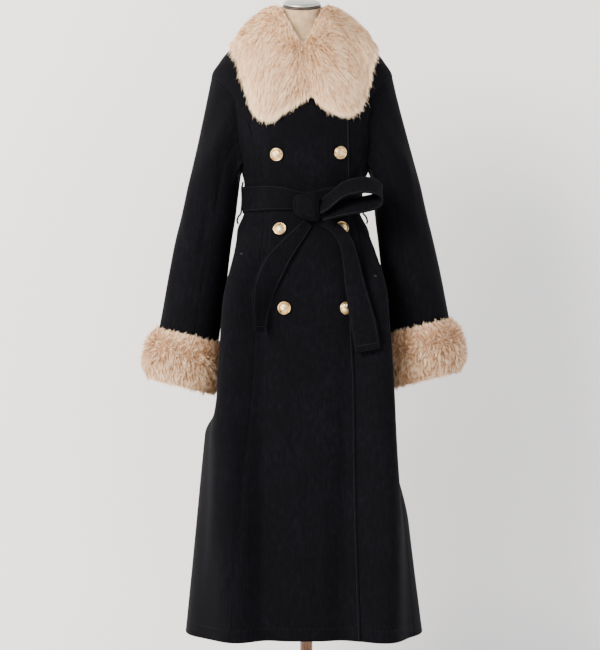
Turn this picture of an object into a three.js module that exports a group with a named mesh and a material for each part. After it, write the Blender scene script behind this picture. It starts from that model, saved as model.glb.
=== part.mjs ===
// Double-breasted long coat with a fur collar and fur cuffs, on a limbless dress form.
// Millimetres, +Z up. The origin is on the floor under the form, and the front faces -Y.
// The coat is cut as panels of one body surface: a stack of rounded sections that grow
// from a belted waist to a wide hem, with soft folds pushed in or out of them.
import * as THREE from 'three';

// Driving dimensions
const WALL = 2;
const GAP = 0.3;
const HEM_Z = 180;
const BELT_LOW = 1050;
const BELT_HIGH = 1104;
const UNDERARM_Z = 1140;
const SEAM_TOP_Z = 1276;
const SHOULDER_Z = 1335;
const NECK_SIDE_Z = 1438;
const UNDERLAP_X = -60;
const OVERLAP_LIFT = WALL + 1;
const SIDE_SEAM_BACK = 10;
const NECK_TOP_Z = 1484;
const NECK_RADIUS = 39.5;
const CAP_TILT = 20;
const POLE_X = 9;
const POLE_RADIUS = 13;
const BASE_RADIUS = 165;
const BASE_HEIGHT = 14;
const BUTTON_RADIUS = 13.5;
const BELT_THICK = 3;

// Materials
const finish = (color, roughness, metalness = 0) =>
  new THREE.MeshStandardMaterial({ color, roughness, metalness });
const CLOTH = finish('#17181d', 0.92);
const FUR = finish('#e3cbb3', 0.95);
const GOLD = finish('#d9bd82', 0.35, 0.9);
const LINEN = finish('#d9ccb8', 0.9);
const WOOD = finish('#6e4a2c', 0.5);
const SATIN = finish('#aaa79f', 0.45);

const group = new THREE.Group();

// Small numeric helpers
const radians = (degrees) => (degrees * Math.PI) / 180;
const mix = (a, b, t) => a + (b - a) * t;
const clamp01 = (t) => Math.min(1, Math.max(0, t));
const smooth = (t) => clamp01(t) ** 2 * (3 - 2 * clamp01(t));
const vec = (x, y, z) => new THREE.Vector3(x, y, z);
const steps = (count) => Array.from({ length: count + 1 }, (_, i) => i / count);

// Reads a table whose rows hold named columns, with a smooth curve through the rows.
function readTable(table, at, key, axis = 'z') {
  const last = table.length - 1;
  let i = 0;
  while (i < last - 1 && at > table[i + 1][axis]) i += 1;
  const slope = (k) => {
    const low = table[Math.max(0, k - 1)];
    const high = table[Math.min(last, k + 1)];
    return (high[key] - low[key]) / (high[axis] - low[axis]);
  };
  const [p, q] = [table[i], table[i + 1]];
  const span = q[axis] - p[axis];
  const t = clamp01((at - p[axis]) / span);
  const t2 = t * t;
  const t3 = t2 * t;
  return (2 * t3 - 3 * t2 + 1) * p[key] + (t3 - 2 * t2 + t) * span * slope(i)
    + (3 * t2 - 2 * t3) * q[key] + (t3 - t2) * span * slope(i + 1);
}

// The coat's sections: half width, depth to the front and to the back of the form's
// centre, squareness of the rounded section, and its shift to the wearer's left.
const SECTIONS = [
  { z: 180, half: 247, front: 172, back: 180, square: 3.0, shift: 4 },
  { z: 320, half: 231, front: 167, back: 172, square: 3.0, shift: 2 },
  { z: 520, half: 210, front: 158, back: 160, square: 2.9, shift: 0 },
  { z: 660, half: 196, front: 150, back: 150, square: 2.9, shift: 0 },
  { z: 808, half: 181, front: 138, back: 136, square: 2.8, shift: 0 },
  { z: 900, half: 172, front: 130, back: 125, square: 2.7, shift: 0 },
  { z: 973, half: 160, front: 121, back: 112, square: 2.6, shift: 0 },
  { z: 1012, half: 145, front: 111, back: 99, square: 2.5, shift: 0 },
  { z: 1038, half: 127, front: 100, back: 88, square: 2.4, shift: 0 },
  { z: 1054, half: 121, front: 96, back: 84, square: 2.4, shift: 0 },
  { z: 1102, half: 121, front: 97, back: 84, square: 2.4, shift: 0 },
  { z: 1118, half: 126, front: 102, back: 89, square: 2.4, shift: 4 },
  { z: 1140, half: 134, front: 108, back: 95, square: 2.4, shift: 6 },
  { z: 1190, half: 146, front: 116, back: 101, square: 2.4, shift: 4 },
  { z: 1235, half: 157, front: 117, back: 104, square: 2.4, shift: 2 },
  { z: 1283, half: 169, front: 108, back: 105, square: 2.4, shift: 1 },
  { z: 1335, half: 190, front: 94, back: 96, square: 2.3, shift: 0 },
  { z: 1368, half: 172, front: 84, back: 86, square: 2.3, shift: 0 },
  { z: 1389, half: 155, front: 78, back: 80, square: 2.2, shift: 0 },
  { z: 1403, half: 134, front: 73, back: 75, square: 2.2, shift: 0 },
  { z: 1421, half: 98, front: 65, back: 67, square: 2.1, shift: 0 },
  { z: 1438, half: 60, front: 54, back: 60, square: 2.0, shift: 0 },
  { z: 1454, half: 50, front: 50, back: 55, square: 2.0, shift: 0 },
  { z: 1500, half: 47, front: 48, back: 54, square: 2.0, shift: 0 },
];

// The coat's folds: a ridge (reach above 0) or a valley at an angle that drifts from the
// waist to the hem. Each grows from z "top" to "full", and one with an "end" fades there.
const FOLDS = [
  { waist: -148, hem: -129, spread: 8, reach: 36, top: 1046, full: 850, fade: -2, end: -1 },
  { waist: -122, hem: -115, spread: 6, reach: -15, top: 1000, full: 300, fade: -2, end: -1 },
  { waist: -29, hem: -45, spread: 7, reach: 45, top: 1050, full: 880, fade: -2, end: -1 },
  { waist: -52, hem: -66, spread: 6, reach: -12, top: 960, full: 300, fade: -2, end: -1 },
  { waist: 180, hem: 178, spread: 20, reach: -44, top: 1046, full: 930, fade: 676, end: 590 },
  { waist: 0, hem: 2, spread: 20, reach: -36, top: 1040, full: 920, fade: 640, end: 400 },
  { waist: 151, hem: 141, spread: 8, reach: 26, top: 1020, full: 500, fade: -2, end: -1 },
  { waist: 29, hem: 38, spread: 8, reach: 28, top: 1020, full: 480, fade: -2, end: -1 },
  { waist: 124, hem: 119, spread: 8, reach: -17, top: 1000, full: 320, fade: -2, end: -1 },
  { waist: 54, hem: 60, spread: 8, reach: -15, top: 990, full: 320, fade: -2, end: -1 },
  { waist: 97, hem: 95, spread: 11, reach: 16, top: 980, full: 300, fade: -2, end: -1 },
];

const turn = (angle) => ((((angle + 180) % 360) + 360) % 360) - 180;

function foldAt(angle, z) {
  return FOLDS.reduce((sum, fold) => {
    const middle = mix(fold.hem, fold.waist, clamp01((z - HEM_Z) / (BELT_LOW - HEM_Z)));
    const off = turn(angle - middle) / fold.spread;
    const grown = smooth((fold.top - z) / (fold.top - fold.full));
    const left = smooth((z - fold.end) / (fold.fade < 0 ? 1 : fold.fade - fold.end));
    return sum + fold.reach * Math.exp(-off * off / 2) * grown * left;
  }, 0);
}

// A point of a rounded section at an angle in degrees: 0 is +X and -90 is the front.
function sectionPoint(angle, z) {
  const part = (key) => readTable(SECTIONS, z, key);
  const [c, s] = [Math.cos(radians(angle)), Math.sin(radians(angle))];
  const power = part('square');
  const depth = s < 0 ? part('front') : part('back');
  const radius = (Math.abs(c / part('half')) ** power + Math.abs(s / depth) ** power) ** (-1 / power);
  return vec(part('shift') + radius * c, radius * s, z);
}

function foldedPoint(angle, z) {
  const point = sectionPoint(angle, z);
  const depth = z < BELT_LOW ? foldAt(angle, z) : 0;
  if (depth === 0) return point;
  const along = sectionPoint(angle + 0.5, z).sub(sectionPoint(angle - 0.5, z)).normalize();
  return point.add(vec(along.y, -along.x, 0).multiplyScalar(depth));
}

// A point of the coat's outer face, moved out along the face's normal by "lift".
function coatPoint(angle, z, lift = 0) {
  const point = foldedPoint(angle, z);
  if (lift === 0) return point;
  const across = foldedPoint(angle + 0.4, z).sub(foldedPoint(angle - 0.4, z));
  const up = foldedPoint(angle, z + 1.5).sub(foldedPoint(angle, z - 1.5));
  return point.addScaledVector(across.cross(up).normalize(), lift);
}

// The angle on the front half where the unfolded section lies at x.
function frontAngle(x, z) {
  let [low, high] = [-180, 0];
  for (let i = 0; i < 40; i += 1) {
    const middle = (low + high) / 2;
    if (sectionPoint(middle, z).x < x) low = middle;
    else high = middle;
  }
  return (low + high) / 2;
}

// A closed body between two grids of points, with walls on its open edges. Where the grids
// meet in the same points, nothing is built between them. With "wrap" the rows are a loop.
function slab(outer, inner, wrap = false) {
  const rows = outer.length;
  const last = outer[0].length - 1;
  const points = [];
  const index = [];
  const put = (p) => points.push(p) - 1;
  const f = outer.map((row) => row.map(put));
  const b = inner.map((row) => row.map(put));
  const triangle = (i, j, k) => {
    const [p, q, r] = [points[i], points[j], points[k]];
    const flat = Math.min(p.distanceTo(q), q.distanceTo(r), r.distanceTo(p)) < 1e-4;
    if (!flat) index.push(i, j, k);
  };
  const quad = (i, j, k, l) => {
    triangle(i, j, k);
    triangle(i, k, l);
  };
  for (let r = 0; r < (wrap ? rows : rows - 1); r += 1) {
    const q = (r + 1) % rows;
    for (let c = 0; c < last; c += 1) {
      quad(f[r][c], f[r][c + 1], f[q][c + 1], f[q][c]);
      quad(b[r][c], b[q][c], b[q][c + 1], b[r][c + 1]);
    }
    quad(f[r][0], f[q][0], b[q][0], b[r][0]);
    quad(f[r][last], b[r][last], b[q][last], f[q][last]);
  }
  if (!wrap) {
    const end = rows - 1;
    for (let c = 0; c < last; c += 1) {
      quad(f[0][c], b[0][c], b[0][c + 1], f[0][c + 1]);
      quad(f[end][c], f[end][c + 1], b[end][c + 1], b[end][c]);
    }
  }
  return facingOut(points, index);
}

// Makes a geometry of the triangles, turned over if they enclose a negative volume.
function facingOut(points, index) {
  let volume = 0;
  for (let i = 0; i < index.length; i += 3) {
    const [p, q, r] = [points[index[i]], points[index[i + 1]], points[index[i + 2]]];
    volume += p.dot(q.clone().cross(r));
  }
  const faces = [];
  for (let i = 0; i < index.length; i += 3) {
    const [a, b, c] = [index[i], index[i + 1], index[i + 2]];
    faces.push(...(volume > 0 ? [a, b, c] : [a, c, b]));
  }
  const geometry = new THREE.BufferGeometry().setFromPoints(points);
  geometry.setIndex(faces);
  return geometry;
}

// A closed body through rings of points, with its two ends closed by fans.
function solidOfRings(rings) {
  const count = rings[0].length;
  const points = rings.flat();
  const index = [];
  for (let r = 0; r < rings.length - 1; r += 1) {
    for (let c = 0; c < count; c += 1) {
      const next = (c + 1) % count;
      const [a, b] = [r * count + c, r * count + next];
      index.push(a, b, b + count, a, b + count, a + count);
    }
  }
  [0, rings.length - 1].forEach((ring) => {
    const middle = rings[ring].reduce((sum, p) => sum.add(p), vec(0, 0, 0)).divideScalar(count);
    const centre = points.push(middle) - 1;
    for (let c = 0; c < count; c += 1) {
      const [a, b] = [ring * count + c, ring * count + ((c + 1) % count)];
      index.push(...(ring === 0 ? [centre, b, a] : [centre, a, b]));
    }
  });
  return facingOut(points, index);
}

function add(name, geometry, material, parent = group) {
  const mesh = new THREE.Mesh(geometry, material);
  mesh.name = name;
  parent.add(mesh);
  return mesh;
}

// Rows of the panels: heights that every seam shares, so that neighbours match.
const LEVELS = [
  180, 265, 350, 435, 520, 600, 675, 745, 820, 890, 945, 983, 1012, 1034, 1050, 1077, 1104,
  UNDERARM_Z, 1147, 1163, 1196, 1236, SEAM_TOP_Z,
];
const BODY_ROWS = LEVELS.indexOf(UNDERARM_Z);

// Front view lines of the seams and edges, as x at each height.
const LEFT_PRINCESS = [
  { z: 180, x: -135 }, { z: 441, x: -118 }, { z: 704, x: -99 }, { z: 853, x: -93 },
  { z: 969, x: -83 }, { z: 1037, x: -80 }, { z: 1105, x: -94 }, { z: 1138, x: -96 },
  { z: 1189, x: -99 }, { z: 1221, x: -107 }, { z: 1253, x: -120 }, { z: 1276, x: -139 },
];
const RIGHT_PRINCESS = [
  { z: 180, x: 228 }, { z: 441, x: 205 }, { z: 704, x: 166 }, { z: 853, x: 145 },
  { z: 969, x: 128 }, { z: 1037, x: 113 }, { z: 1105, x: 112 }, { z: 1138, x: 116 },
  { z: 1189, x: 120 }, { z: 1221, x: 125 }, { z: 1253, x: 131 }, { z: 1276, x: 139 },
];
const FRONT_EDGE = [
  { z: 180, x: 117 }, { z: 460, x: 110 }, { z: 700, x: 107 }, { z: 850, x: 100 }, { z: 1270, x: 96 },
];
const BACK_PRINCESS = [
  { z: 180, x: 122 }, { z: 441, x: 106 }, { z: 704, x: 90 }, { z: 853, x: 80 },
  { z: 969, x: 72 }, { z: 1037, x: 62 }, { z: 1105, x: 64 }, { z: 1138, x: 72 },
  { z: 1189, x: 86 }, { z: 1221, x: 100 }, { z: 1253, x: 124 }, { z: 1276, x: 146 },
];
// The armholes, as half widths in the front view: steep at the chest, round at the underarm.
const ARMHOLE = [
  { z: 1140, front: 138, back: 138 }, { z: 1147, front: 129, back: 130 },
  { z: 1158, front: 130, back: 131 }, { z: 1176, front: 133, back: 135 },
  { z: 1202, front: 136, back: 142 }, { z: 1238, front: 138, back: 144 },
  { z: 1276, front: 141, back: 148 }, { z: 1290, front: 147, back: 153 },
  { z: 1306, front: 161, back: 163 }, { z: 1322, front: 176, back: 176 },
  { z: 1335, front: 190, back: 190 },
];
const YOKE_LEVELS = [1290, 1306, 1322, SHOULDER_Z];

// Seam points as { angle, z }. Side is -1 on the wearer's right and +1 on the left; face is
// -1 on the front and +1 on the back. The angle keeps one turn on each of the four quarters.
const seamAtX = (x, z, face) => ({ angle: face * -frontAngle(x, z), z });
const sideSeam = (side, face, z) => {
  const wearersRight = face < 0 ? -180 - SIDE_SEAM_BACK : 180 - SIDE_SEAM_BACK;
  return { angle: side > 0 ? SIDE_SEAM_BACK : wearersRight, z };
};

function armhole(side, face, z) {
  if (z >= SHOULDER_Z) return { angle: side > 0 ? 0 : face * 180, z };
  if (z <= UNDERARM_Z) return sideSeam(side, face, z);
  const width = readTable(ARMHOLE, z, face > 0 ? 'back' : 'front');
  return seamAtX(side * width + readTable(SECTIONS, z, 'shift'), z, face);
}

function princess(side, face, z) {
  if (face < 0) return seamAtX(readTable(side < 0 ? LEFT_PRINCESS : RIGHT_PRINCESS, z, 'x'), z, face);
  return seamAtX(side * readTable(BACK_PRINCESS, z, 'x'), z, face);
}

// Moves a seam point along its section by a few tenths, towards larger angles if above 0.
function nudge({ angle, z }, distance) {
  const perDegree = foldedPoint(angle + 0.5, z).distanceTo(foldedPoint(angle - 0.5, z));
  return { angle: angle + distance / perDegree, z };
}

// The wall of a panel over a grid of seam points, with its own lift in each column.
function panel(grid, liftOf = () => 0) {
  const face = (depth) => grid.map((row) => row.map(({ angle, z }, column) => {
    return coatPoint(angle, z, liftOf(column) + depth);
  }));
  return slab(face(0), face(-WALL));
}

// Fills a patch of (angle, z) between four borders, each a list of seam points.
function patch(bottom, top, left, right) {
  const columns = bottom.length - 1;
  const spanZ = right[right.length - 1].z - right[0].z;
  return left.map((a, row) => {
    const b = right[row];
    const t = (b.z - right[0].z) / spanZ;
    return bottom.map((_, column) => {
      const s = column / columns;
      const blend = (key) => {
        const low = mix(bottom[0][key], bottom[columns][key], s);
        const high = mix(top[0][key], top[columns][key], s);
        return mix(bottom[column][key], top[column][key], t) + mix(a[key], b[key], s) - mix(low, high, t);
      };
      return { angle: blend('angle'), z: blend('z') };
    });
  });
}

// Columns of one row between seam points at the same height, with a count for each stretch.
function rowThrough(stops, counts) {
  const row = [stops[0]];
  counts.forEach((count, i) => {
    const [p, q] = [stops[i], stops[i + 1]];
    steps(count).slice(1).forEach((t) => row.push({ angle: mix(p.angle, q.angle, t), z: p.z }));
  });
  return row;
}

const SHOULDER_LEVELS = [SHOULDER_Z, 1364, 1390, 1414, NECK_SIDE_Z];
const UPPER_LEVELS = [...LEVELS.slice(BODY_ROWS), ...YOKE_LEVELS];
const upperSeam = (side, face) => UPPER_LEVELS.map((z) => {
  return z <= SEAM_TOP_Z ? princess(side, face, z) : armhole(side, face, z);
});

// Fronts: the wearer's right laps over the left. Both are cut from one grid with three
// stretches of columns, so the lap's two layers follow the same lines. The upper layer rises
// off the body over the last columns before the lap.
const LAP_START = 8;
const LAP_END = 14;
const FRONT_COLUMNS = 22;
const lowerFront = LEVELS.slice(0, BODY_ROWS + 1).map((z) => rowThrough([
  nudge(princess(-1, -1, z), GAP / 2),
  { angle: frontAngle(UNDERLAP_X, z), z },
  { angle: frontAngle(readTable(FRONT_EDGE, z, 'x'), z), z },
  nudge(princess(1, -1, z), -GAP / 2),
], [LAP_START, LAP_END - LAP_START, FRONT_COLUMNS - LAP_END]));

const NECKLINE = [
  { x: -72, z: 1427 }, { x: -78, z: 1402 }, { x: -80, z: 1350 }, { x: UNDERLAP_X, z: 1262 },
  { x: -44, z: 1268 }, { x: -22, z: 1282 }, { x: 2, z: 1294 }, { x: 26, z: 1296 },
  { x: 58, z: 1288 }, { x: 96, z: 1280 }, { x: 96, z: 1350 }, { x: 80, z: 1402 }, { x: 72, z: 1427 },
];
const shoulderEdge = (side, face) => SHOULDER_LEVELS.map((z) => {
  return nudge({ angle: side > 0 ? 0 : face * 180, z }, (side * face * GAP) / 2);
});
const frontTop = [
  ...shoulderEdge(-1, -1),
  ...NECKLINE.map(({ x, z }) => ({ angle: frontAngle(x, z), z })),
  ...shoulderEdge(1, -1).reverse(),
];
const upperFront = patch(
  lowerFront[BODY_ROWS],
  frontTop,
  upperSeam(-1, -1).map((p) => nudge(p, GAP / 2)),
  upperSeam(1, -1).map((p) => nudge(p, -GAP / 2)),
);
const frontGrid = [...lowerFront, ...upperFront.slice(1)];
const lapLift = (column) => OVERLAP_LIFT * smooth((column - LAP_START + 4) / 3);
add('front_right', panel(frontGrid.map((row) => row.slice(0, LAP_END + 1)), lapLift), CLOTH);
add('front_left', panel(frontGrid.map((row) => row.slice(LAP_START))), CLOTH);

// Side panels run from a princess seam to the side seam, then narrow along the armhole.
const SIDE_COLUMNS = 5;
function sidePanel(side, face) {
  const towardSide = side * -face;
  const grid = LEVELS.map((z) => {
    const inner = nudge(princess(side, face, z), (towardSide * GAP) / 2);
    const outer = armhole(side, face, z);
    const seam = z <= UNDERARM_Z ? nudge(outer, (-towardSide * GAP) / 2) : outer;
    return rowThrough([inner, seam], [SIDE_COLUMNS]);
  });
  return panel(grid);
}
[[-1, 'right'], [1, 'left']].forEach(([side, name]) => {
  add(`side_front_${name}`, sidePanel(side, -1), CLOTH);
  add(`side_back_${name}`, sidePanel(side, 1), CLOTH);
});

// Back: one panel between the back princess seams, up to both shoulder seams and the neck.
const BACK_COLUMNS = 14;
const lowerBack = LEVELS.slice(0, BODY_ROWS + 1).map((z) => rowThrough(
  [nudge(princess(1, 1, z), GAP / 2), nudge(princess(-1, 1, z), -GAP / 2)],
  [BACK_COLUMNS],
));
const neckBack = [30, 60, 90, 120, 150].map((angle) => ({ angle, z: NECK_SIDE_Z }));
const upperBack = patch(
  lowerBack[BODY_ROWS],
  [...shoulderEdge(1, 1), ...neckBack, ...shoulderEdge(-1, 1).reverse()],
  upperSeam(1, 1).map((p) => nudge(p, GAP / 2)),
  upperSeam(-1, 1).map((p) => nudge(p, -GAP / 2)),
);
add('back', panel([...lowerBack, ...upperBack.slice(1)]), CLOTH);

// Sleeves. Each hangs from its armhole as a tube: a cap of curves from the armhole's points
// to the first full ring, then rings down to the hem, tilted with the sleeve's lean.
const SLEEVE_RIGHT = [
  { z: 690, inner: -190, outer: -322, deep: 64, y: 14 }, { z: 808, inner: -174, outer: -298, deep: 62, y: 12 },
  { z: 917, inner: -158, outer: -279, deep: 62, y: 9 }, { z: 994, inner: -148, outer: -265, deep: 62, y: 7 },
  { z: 1040, inner: -140, outer: -254, deep: 63, y: 5 }, { z: 1095, inner: -133, outer: -242, deep: 65, y: 3 },
];
const SLEEVE_LEFT = [
  { z: 690, inner: 202, outer: 334, deep: 64, y: 14 }, { z: 808, inner: 184, outer: 311, deep: 62, y: 12 },
  { z: 917, inner: 169, outer: 291, deep: 62, y: 9 }, { z: 994, inner: 160, outer: 275, deep: 62, y: 7 },
  { z: 1040, inner: 154, outer: 264, deep: 63, y: 5 }, { z: 1095, inner: 149, outer: 252, deep: 65, y: 3 },
];
const SLEEVE_TOP = 1095;
const SLEEVE_LEVELS = [730, 770, 815, 865, 920, 978, 1038, SLEEVE_TOP];
const CUFF_TILT = 14;
// Where each cuff starts and ends on its sleeve, which ends a little above the cuff's edge.
const cuffLow = (side) => (side < 0 ? 690 : 705);
const cuffHigh = (side) => (side < 0 ? 793 : 812);
const SLEEVE_END = 4;
const SLEEVE_SQUARE = 2.2;
const CAP_ROWS = 5;
// The sleeve's two seams, as stations counted from the underarm, and each piece's set-back.
const FRONT_SEAM = 3;
const BACK_SEAM = -4;
const SLEEVE_INSET = 0.2;

// Every armhole station, from the underarm up the front to the shoulder and down the back.
function armholeLoop(side) {
  const rising = UPPER_LEVELS.slice(1);
  const falling = rising.slice(0, -1).reverse();
  return [
    armhole(side, 1, UNDERARM_Z),
    ...rising.map((z) => armhole(side, -1, z)),
    ...falling.map((z) => armhole(side, 1, z)),
  ];
}

// A point of the sleeve's full rings; around runs from 0 at the inside over the front (0.25)
// to the outside (0.5) and back, and lift moves it out of the outer face.
function sleeveRing(side, around, z, lift = 0) {
  const table = side < 0 ? SLEEVE_RIGHT : SLEEVE_LEFT;
  const part = (key) => readTable(table, z, key);
  const middle = (part('inner') + part('outer')) / 2;
  const half = Math.abs(part('outer') - part('inner')) / 2 + lift;
  const deep = part('deep') + lift;
  const [c, s] = [Math.cos(around * 2 * Math.PI), Math.sin(around * 2 * Math.PI)];
  const power = SLEEVE_SQUARE;
  const radius = (Math.abs(c / half) ** power + Math.abs(s / deep) ** power) ** (-1 / power);
  const out = -radius * c;
  const tilt = CUFF_TILT * smooth((SLEEVE_TOP - z) / (SLEEVE_TOP - 800));
  return vec(middle + side * out, part('y') - radius * s, z + out * Math.tan(radians(tilt)));
}

// Where each armhole station lies round the sleeve, by its share of the armhole's length.
function stationShares(loop) {
  const points = loop.map(({ angle, z }) => coatPoint(angle, z));
  const lengths = points.map((p, i) => p.distanceTo(points[(i + 1) % points.length]));
  const sum = lengths.reduce((a, b) => a + b, 0);
  let run = 0;
  return lengths.map((length) => {
    const share = run / sum;
    run += length;
    return share;
  });
}

// The sleeve's points at a depth: its rings from the hem up, then the cap's rows, which
// leave the armhole outward (at the shoulder, over it and down) and arrive along the rings.
function sleeveGrid(side, depth) {
  const loop = armholeLoop(side);
  const shares = stationShares(loop);
  const levels = [cuffLow(side) + SLEEVE_END, ...SLEEVE_LEVELS];
  const rings = levels.map((z) => shares.map((share) => sleeveRing(side, share, z, depth)));
  const height = SHOULDER_Z - UNDERARM_Z;
  const cap = steps(CAP_ROWS).slice(1).map((t) => loop.map(({ angle, z }, i) => {
    const rise = clamp01((z - UNDERARM_Z) / height);
    const flat = smooth(rise / 0.2);
    const start = coatPoint(angle, z, depth * flat + 0.8 * (1 - flat));
    start.add(vec(side * 0.5, 0, (1.2 - depth) * (1 - flat)));
    const end = sleeveRing(side, shares[i], SLEEVE_TOP, depth);
    const below = sleeveRing(side, shares[i], SLEEVE_TOP - 10, depth);
    const drop = end.distanceTo(start);
    const swell = 14 + 62 * Math.sin(Math.PI * rise) ** 2 + 26 * rise;
    const leave = vec(side * swell, 0, 8 - 190 * smooth(rise) - 20 * rise);
    const arrive = end.clone().sub(below).normalize().multiplyScalar(-drop * 0.9);
    return hermite(start, leave, end, arrive, 1 - t);
  }));
  return [...rings, ...cap];
}

// A cubic between two points that leaves and arrives along the two given vectors.
function hermite(start, leave, end, arrive, t) {
  const [t2, t3] = [t * t, t * t * t];
  return start.clone().multiplyScalar(2 * t3 - 3 * t2 + 1)
    .addScaledVector(leave, t3 - 2 * t2 + t)
    .addScaledVector(end, 3 * t2 - 2 * t3)
    .addScaledVector(arrive, t3 - t2);
}

// Cuts a ring grid between two stations and parts the pieces by half a seam gap.
function sleevePiece(outer, inner, from, to) {
  const count = outer[0].length;
  const stations = Array.from({ length: to - from + 1 }, (_, i) => (from + i) % count);
  const cut = (grid) => grid.map((row) => {
    const piece = stations.map((i) => row[((i % count) + count) % count].clone());
    const last = piece.length - 1;
    const inset = (edge, next) => edge.add(next.clone().sub(edge).setLength(SLEEVE_INSET));
    inset(piece[0], piece[1].clone());
    inset(piece[last], piece[last - 1].clone());
    return piece;
  });
  return slab(cut(outer), cut(inner));
}
[[-1, 'right'], [1, 'left']].forEach(([side, name]) => {
  const outer = sleeveGrid(side, 0);
  const inner = sleeveGrid(side, -WALL);
  const count = outer[0].length;
  add(`sleeve_upper_${name}`, sleevePiece(outer, inner, FRONT_SEAM, count + BACK_SEAM), CLOTH);
  add(`sleeve_under_${name}`, sleevePiece(outer, inner, count + BACK_SEAM, count + FRONT_SEAM), CLOTH);
});

// Fur cuffs: a thick ring round each sleeve's end, its pile rounded over at both edges.
const CUFF_PILE = 25;
const CUFF_STATIONS = 24;
const CUFF_PROFILE = 6;
[[-1, 'right'], [1, 'left']].forEach(([side, name]) => {
  const rows = Array.from({ length: CUFF_STATIONS }, (_, i) => i / CUFF_STATIONS);
  const face = (liftAt) => rows.map((around) => steps(CUFF_PROFILE).map((p) => {
    return sleeveRing(side, around, mix(cuffLow(side), cuffHigh(side), p), liftAt(p));
  }));
  const seat = GAP + 0.8;
  const crown = (p) => seat + CUFF_PILE * (1 - Math.abs(2 * p - 1) ** 3) ** 0.6;
  add(`fur_cuff_${name}`, slab(face(crown), face(() => seat), true), FUR);
});

// Fur collar: stations from its left end at the front centre, round the back, to its right
// end. Its edge lies on the coat and its roll stands at the neck.
const COLLAR = [
  { at: 0, edge: -81, low: 1292, neck: -88, high: 1392, pile: 24, arch: 0 },
  { at: 1, edge: -90, low: 1276, neck: -93, high: 1396, pile: 31, arch: 0 },
  { at: 2, edge: -102, low: 1263, neck: -99, high: 1406, pile: 34, arch: 0 },
  { at: 3, edge: -113, low: 1246, neck: -107, high: 1420, pile: 34, arch: 0 },
  { at: 4, edge: -123, low: 1238, neck: -117, high: 1437, pile: 33, arch: 0.1 },
  { at: 5, edge: -133, low: 1252, neck: -130, high: 1456, pile: 30, arch: 0.4 },
  { at: 6, edge: -142, low: 1300, neck: -143, high: 1473, pile: 24, arch: 0.7 },
  { at: 7, edge: -154, low: 1364, neck: -161, high: 1482, pile: 18, arch: 1 },
  { at: 8, edge: -180, low: 1408, neck: -180, high: 1485, pile: 16, arch: 1 },
  { at: 9, edge: -208, low: 1394, neck: -206, high: 1487, pile: 19, arch: 1 },
  { at: 10, edge: -240, low: 1352, neck: -238, high: 1490, pile: 26, arch: 1 },
  { at: 11, edge: -270, low: 1344, neck: -270, high: 1490, pile: 26, arch: 1 },
  { at: 12, edge: -300, low: 1352, neck: -302, high: 1490, pile: 26, arch: 1 },
  { at: 13, edge: -332, low: 1394, neck: -334, high: 1487, pile: 19, arch: 1 },
  { at: 14, edge: -360, low: 1406, neck: -360, high: 1485, pile: 16, arch: 1 },
  { at: 15, edge: -383, low: 1358, neck: -379, high: 1482, pile: 18, arch: 1 },
  { at: 16, edge: -392, low: 1302, neck: -395, high: 1473, pile: 24, arch: 0.7 },
  { at: 17, edge: -399, low: 1264, neck: -409, high: 1457, pile: 31, arch: 0.4 },
  { at: 18, edge: -408, low: 1248, neck: -421, high: 1440, pile: 34, arch: 0.1 },
  { at: 19, edge: -418, low: 1251, neck: -430, high: 1423, pile: 35, arch: 0 },
  { at: 20, edge: -429, low: 1262, neck: -438, high: 1408, pile: 33, arch: 0 },
  { at: 21, edge: -440.5, low: 1290, neck: -447.5, high: 1392, pile: 25, arch: 0 },
];
const COLLAR_SEAT = OVERLAP_LIFT + 0.8;
const COLLAR_LOFT = 5;
const COLLAR_PROFILE = 8;
function collarFaces(station) {
  const part = (key) => readTable(COLLAR, station, key, 'at');
  const [edge, low, neck, high] = ['edge', 'low', 'neck', 'high'].map(part);
  const outward = (angle, rise) => {
    return vec(Math.cos(radians(angle)), Math.sin(radians(angle)), rise).normalize();
  };
  const seat = COLLAR_SEAT + COLLAR_LOFT * part('arch');
  const foot = coatPoint(edge, low, seat);
  const roll = coatPoint(neck, high, seat);
  const footOut = coatPoint(edge, low, seat + 1).sub(foot);
  const under = steps(COLLAR_PROFILE).map((p) => {
    return coatPoint(mix(edge, neck, p), mix(low, high, p), seat);
  });
  const over = under.map((point, i) => {
    const p = i / COLLAR_PROFILE;
    const base = point.clone().lerp(foot.clone().lerp(roll, p), part('arch'));
    const dome = part('pile') * (1 - Math.abs(2 * p - 1) ** 2.6) ** 0.62;
    const way = footOut.clone().lerp(outward(neck, 0.9), p).normalize();
    return base.addScaledVector(way, dome);
  });
  return { under, over };
}
const collarRows = steps(38).map((t) => collarFaces(t * (COLLAR.length - 1)));
add('fur_collar', slab(collarRows.map((r) => r.over), collarRows.map((r) => r.under)), FUR);

// A point of the coat's front at x in the front view, moved out of its face by lift.
function frontPoint(x, z, lift) {
  let [low, high] = [-180, 0];
  for (let i = 0; i < 30; i += 1) {
    const middle = (low + high) / 2;
    if (foldedPoint(middle, z).x < x) low = middle;
    else high = middle;
  }
  return coatPoint((low + high) / 2, z, lift);
}

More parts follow.
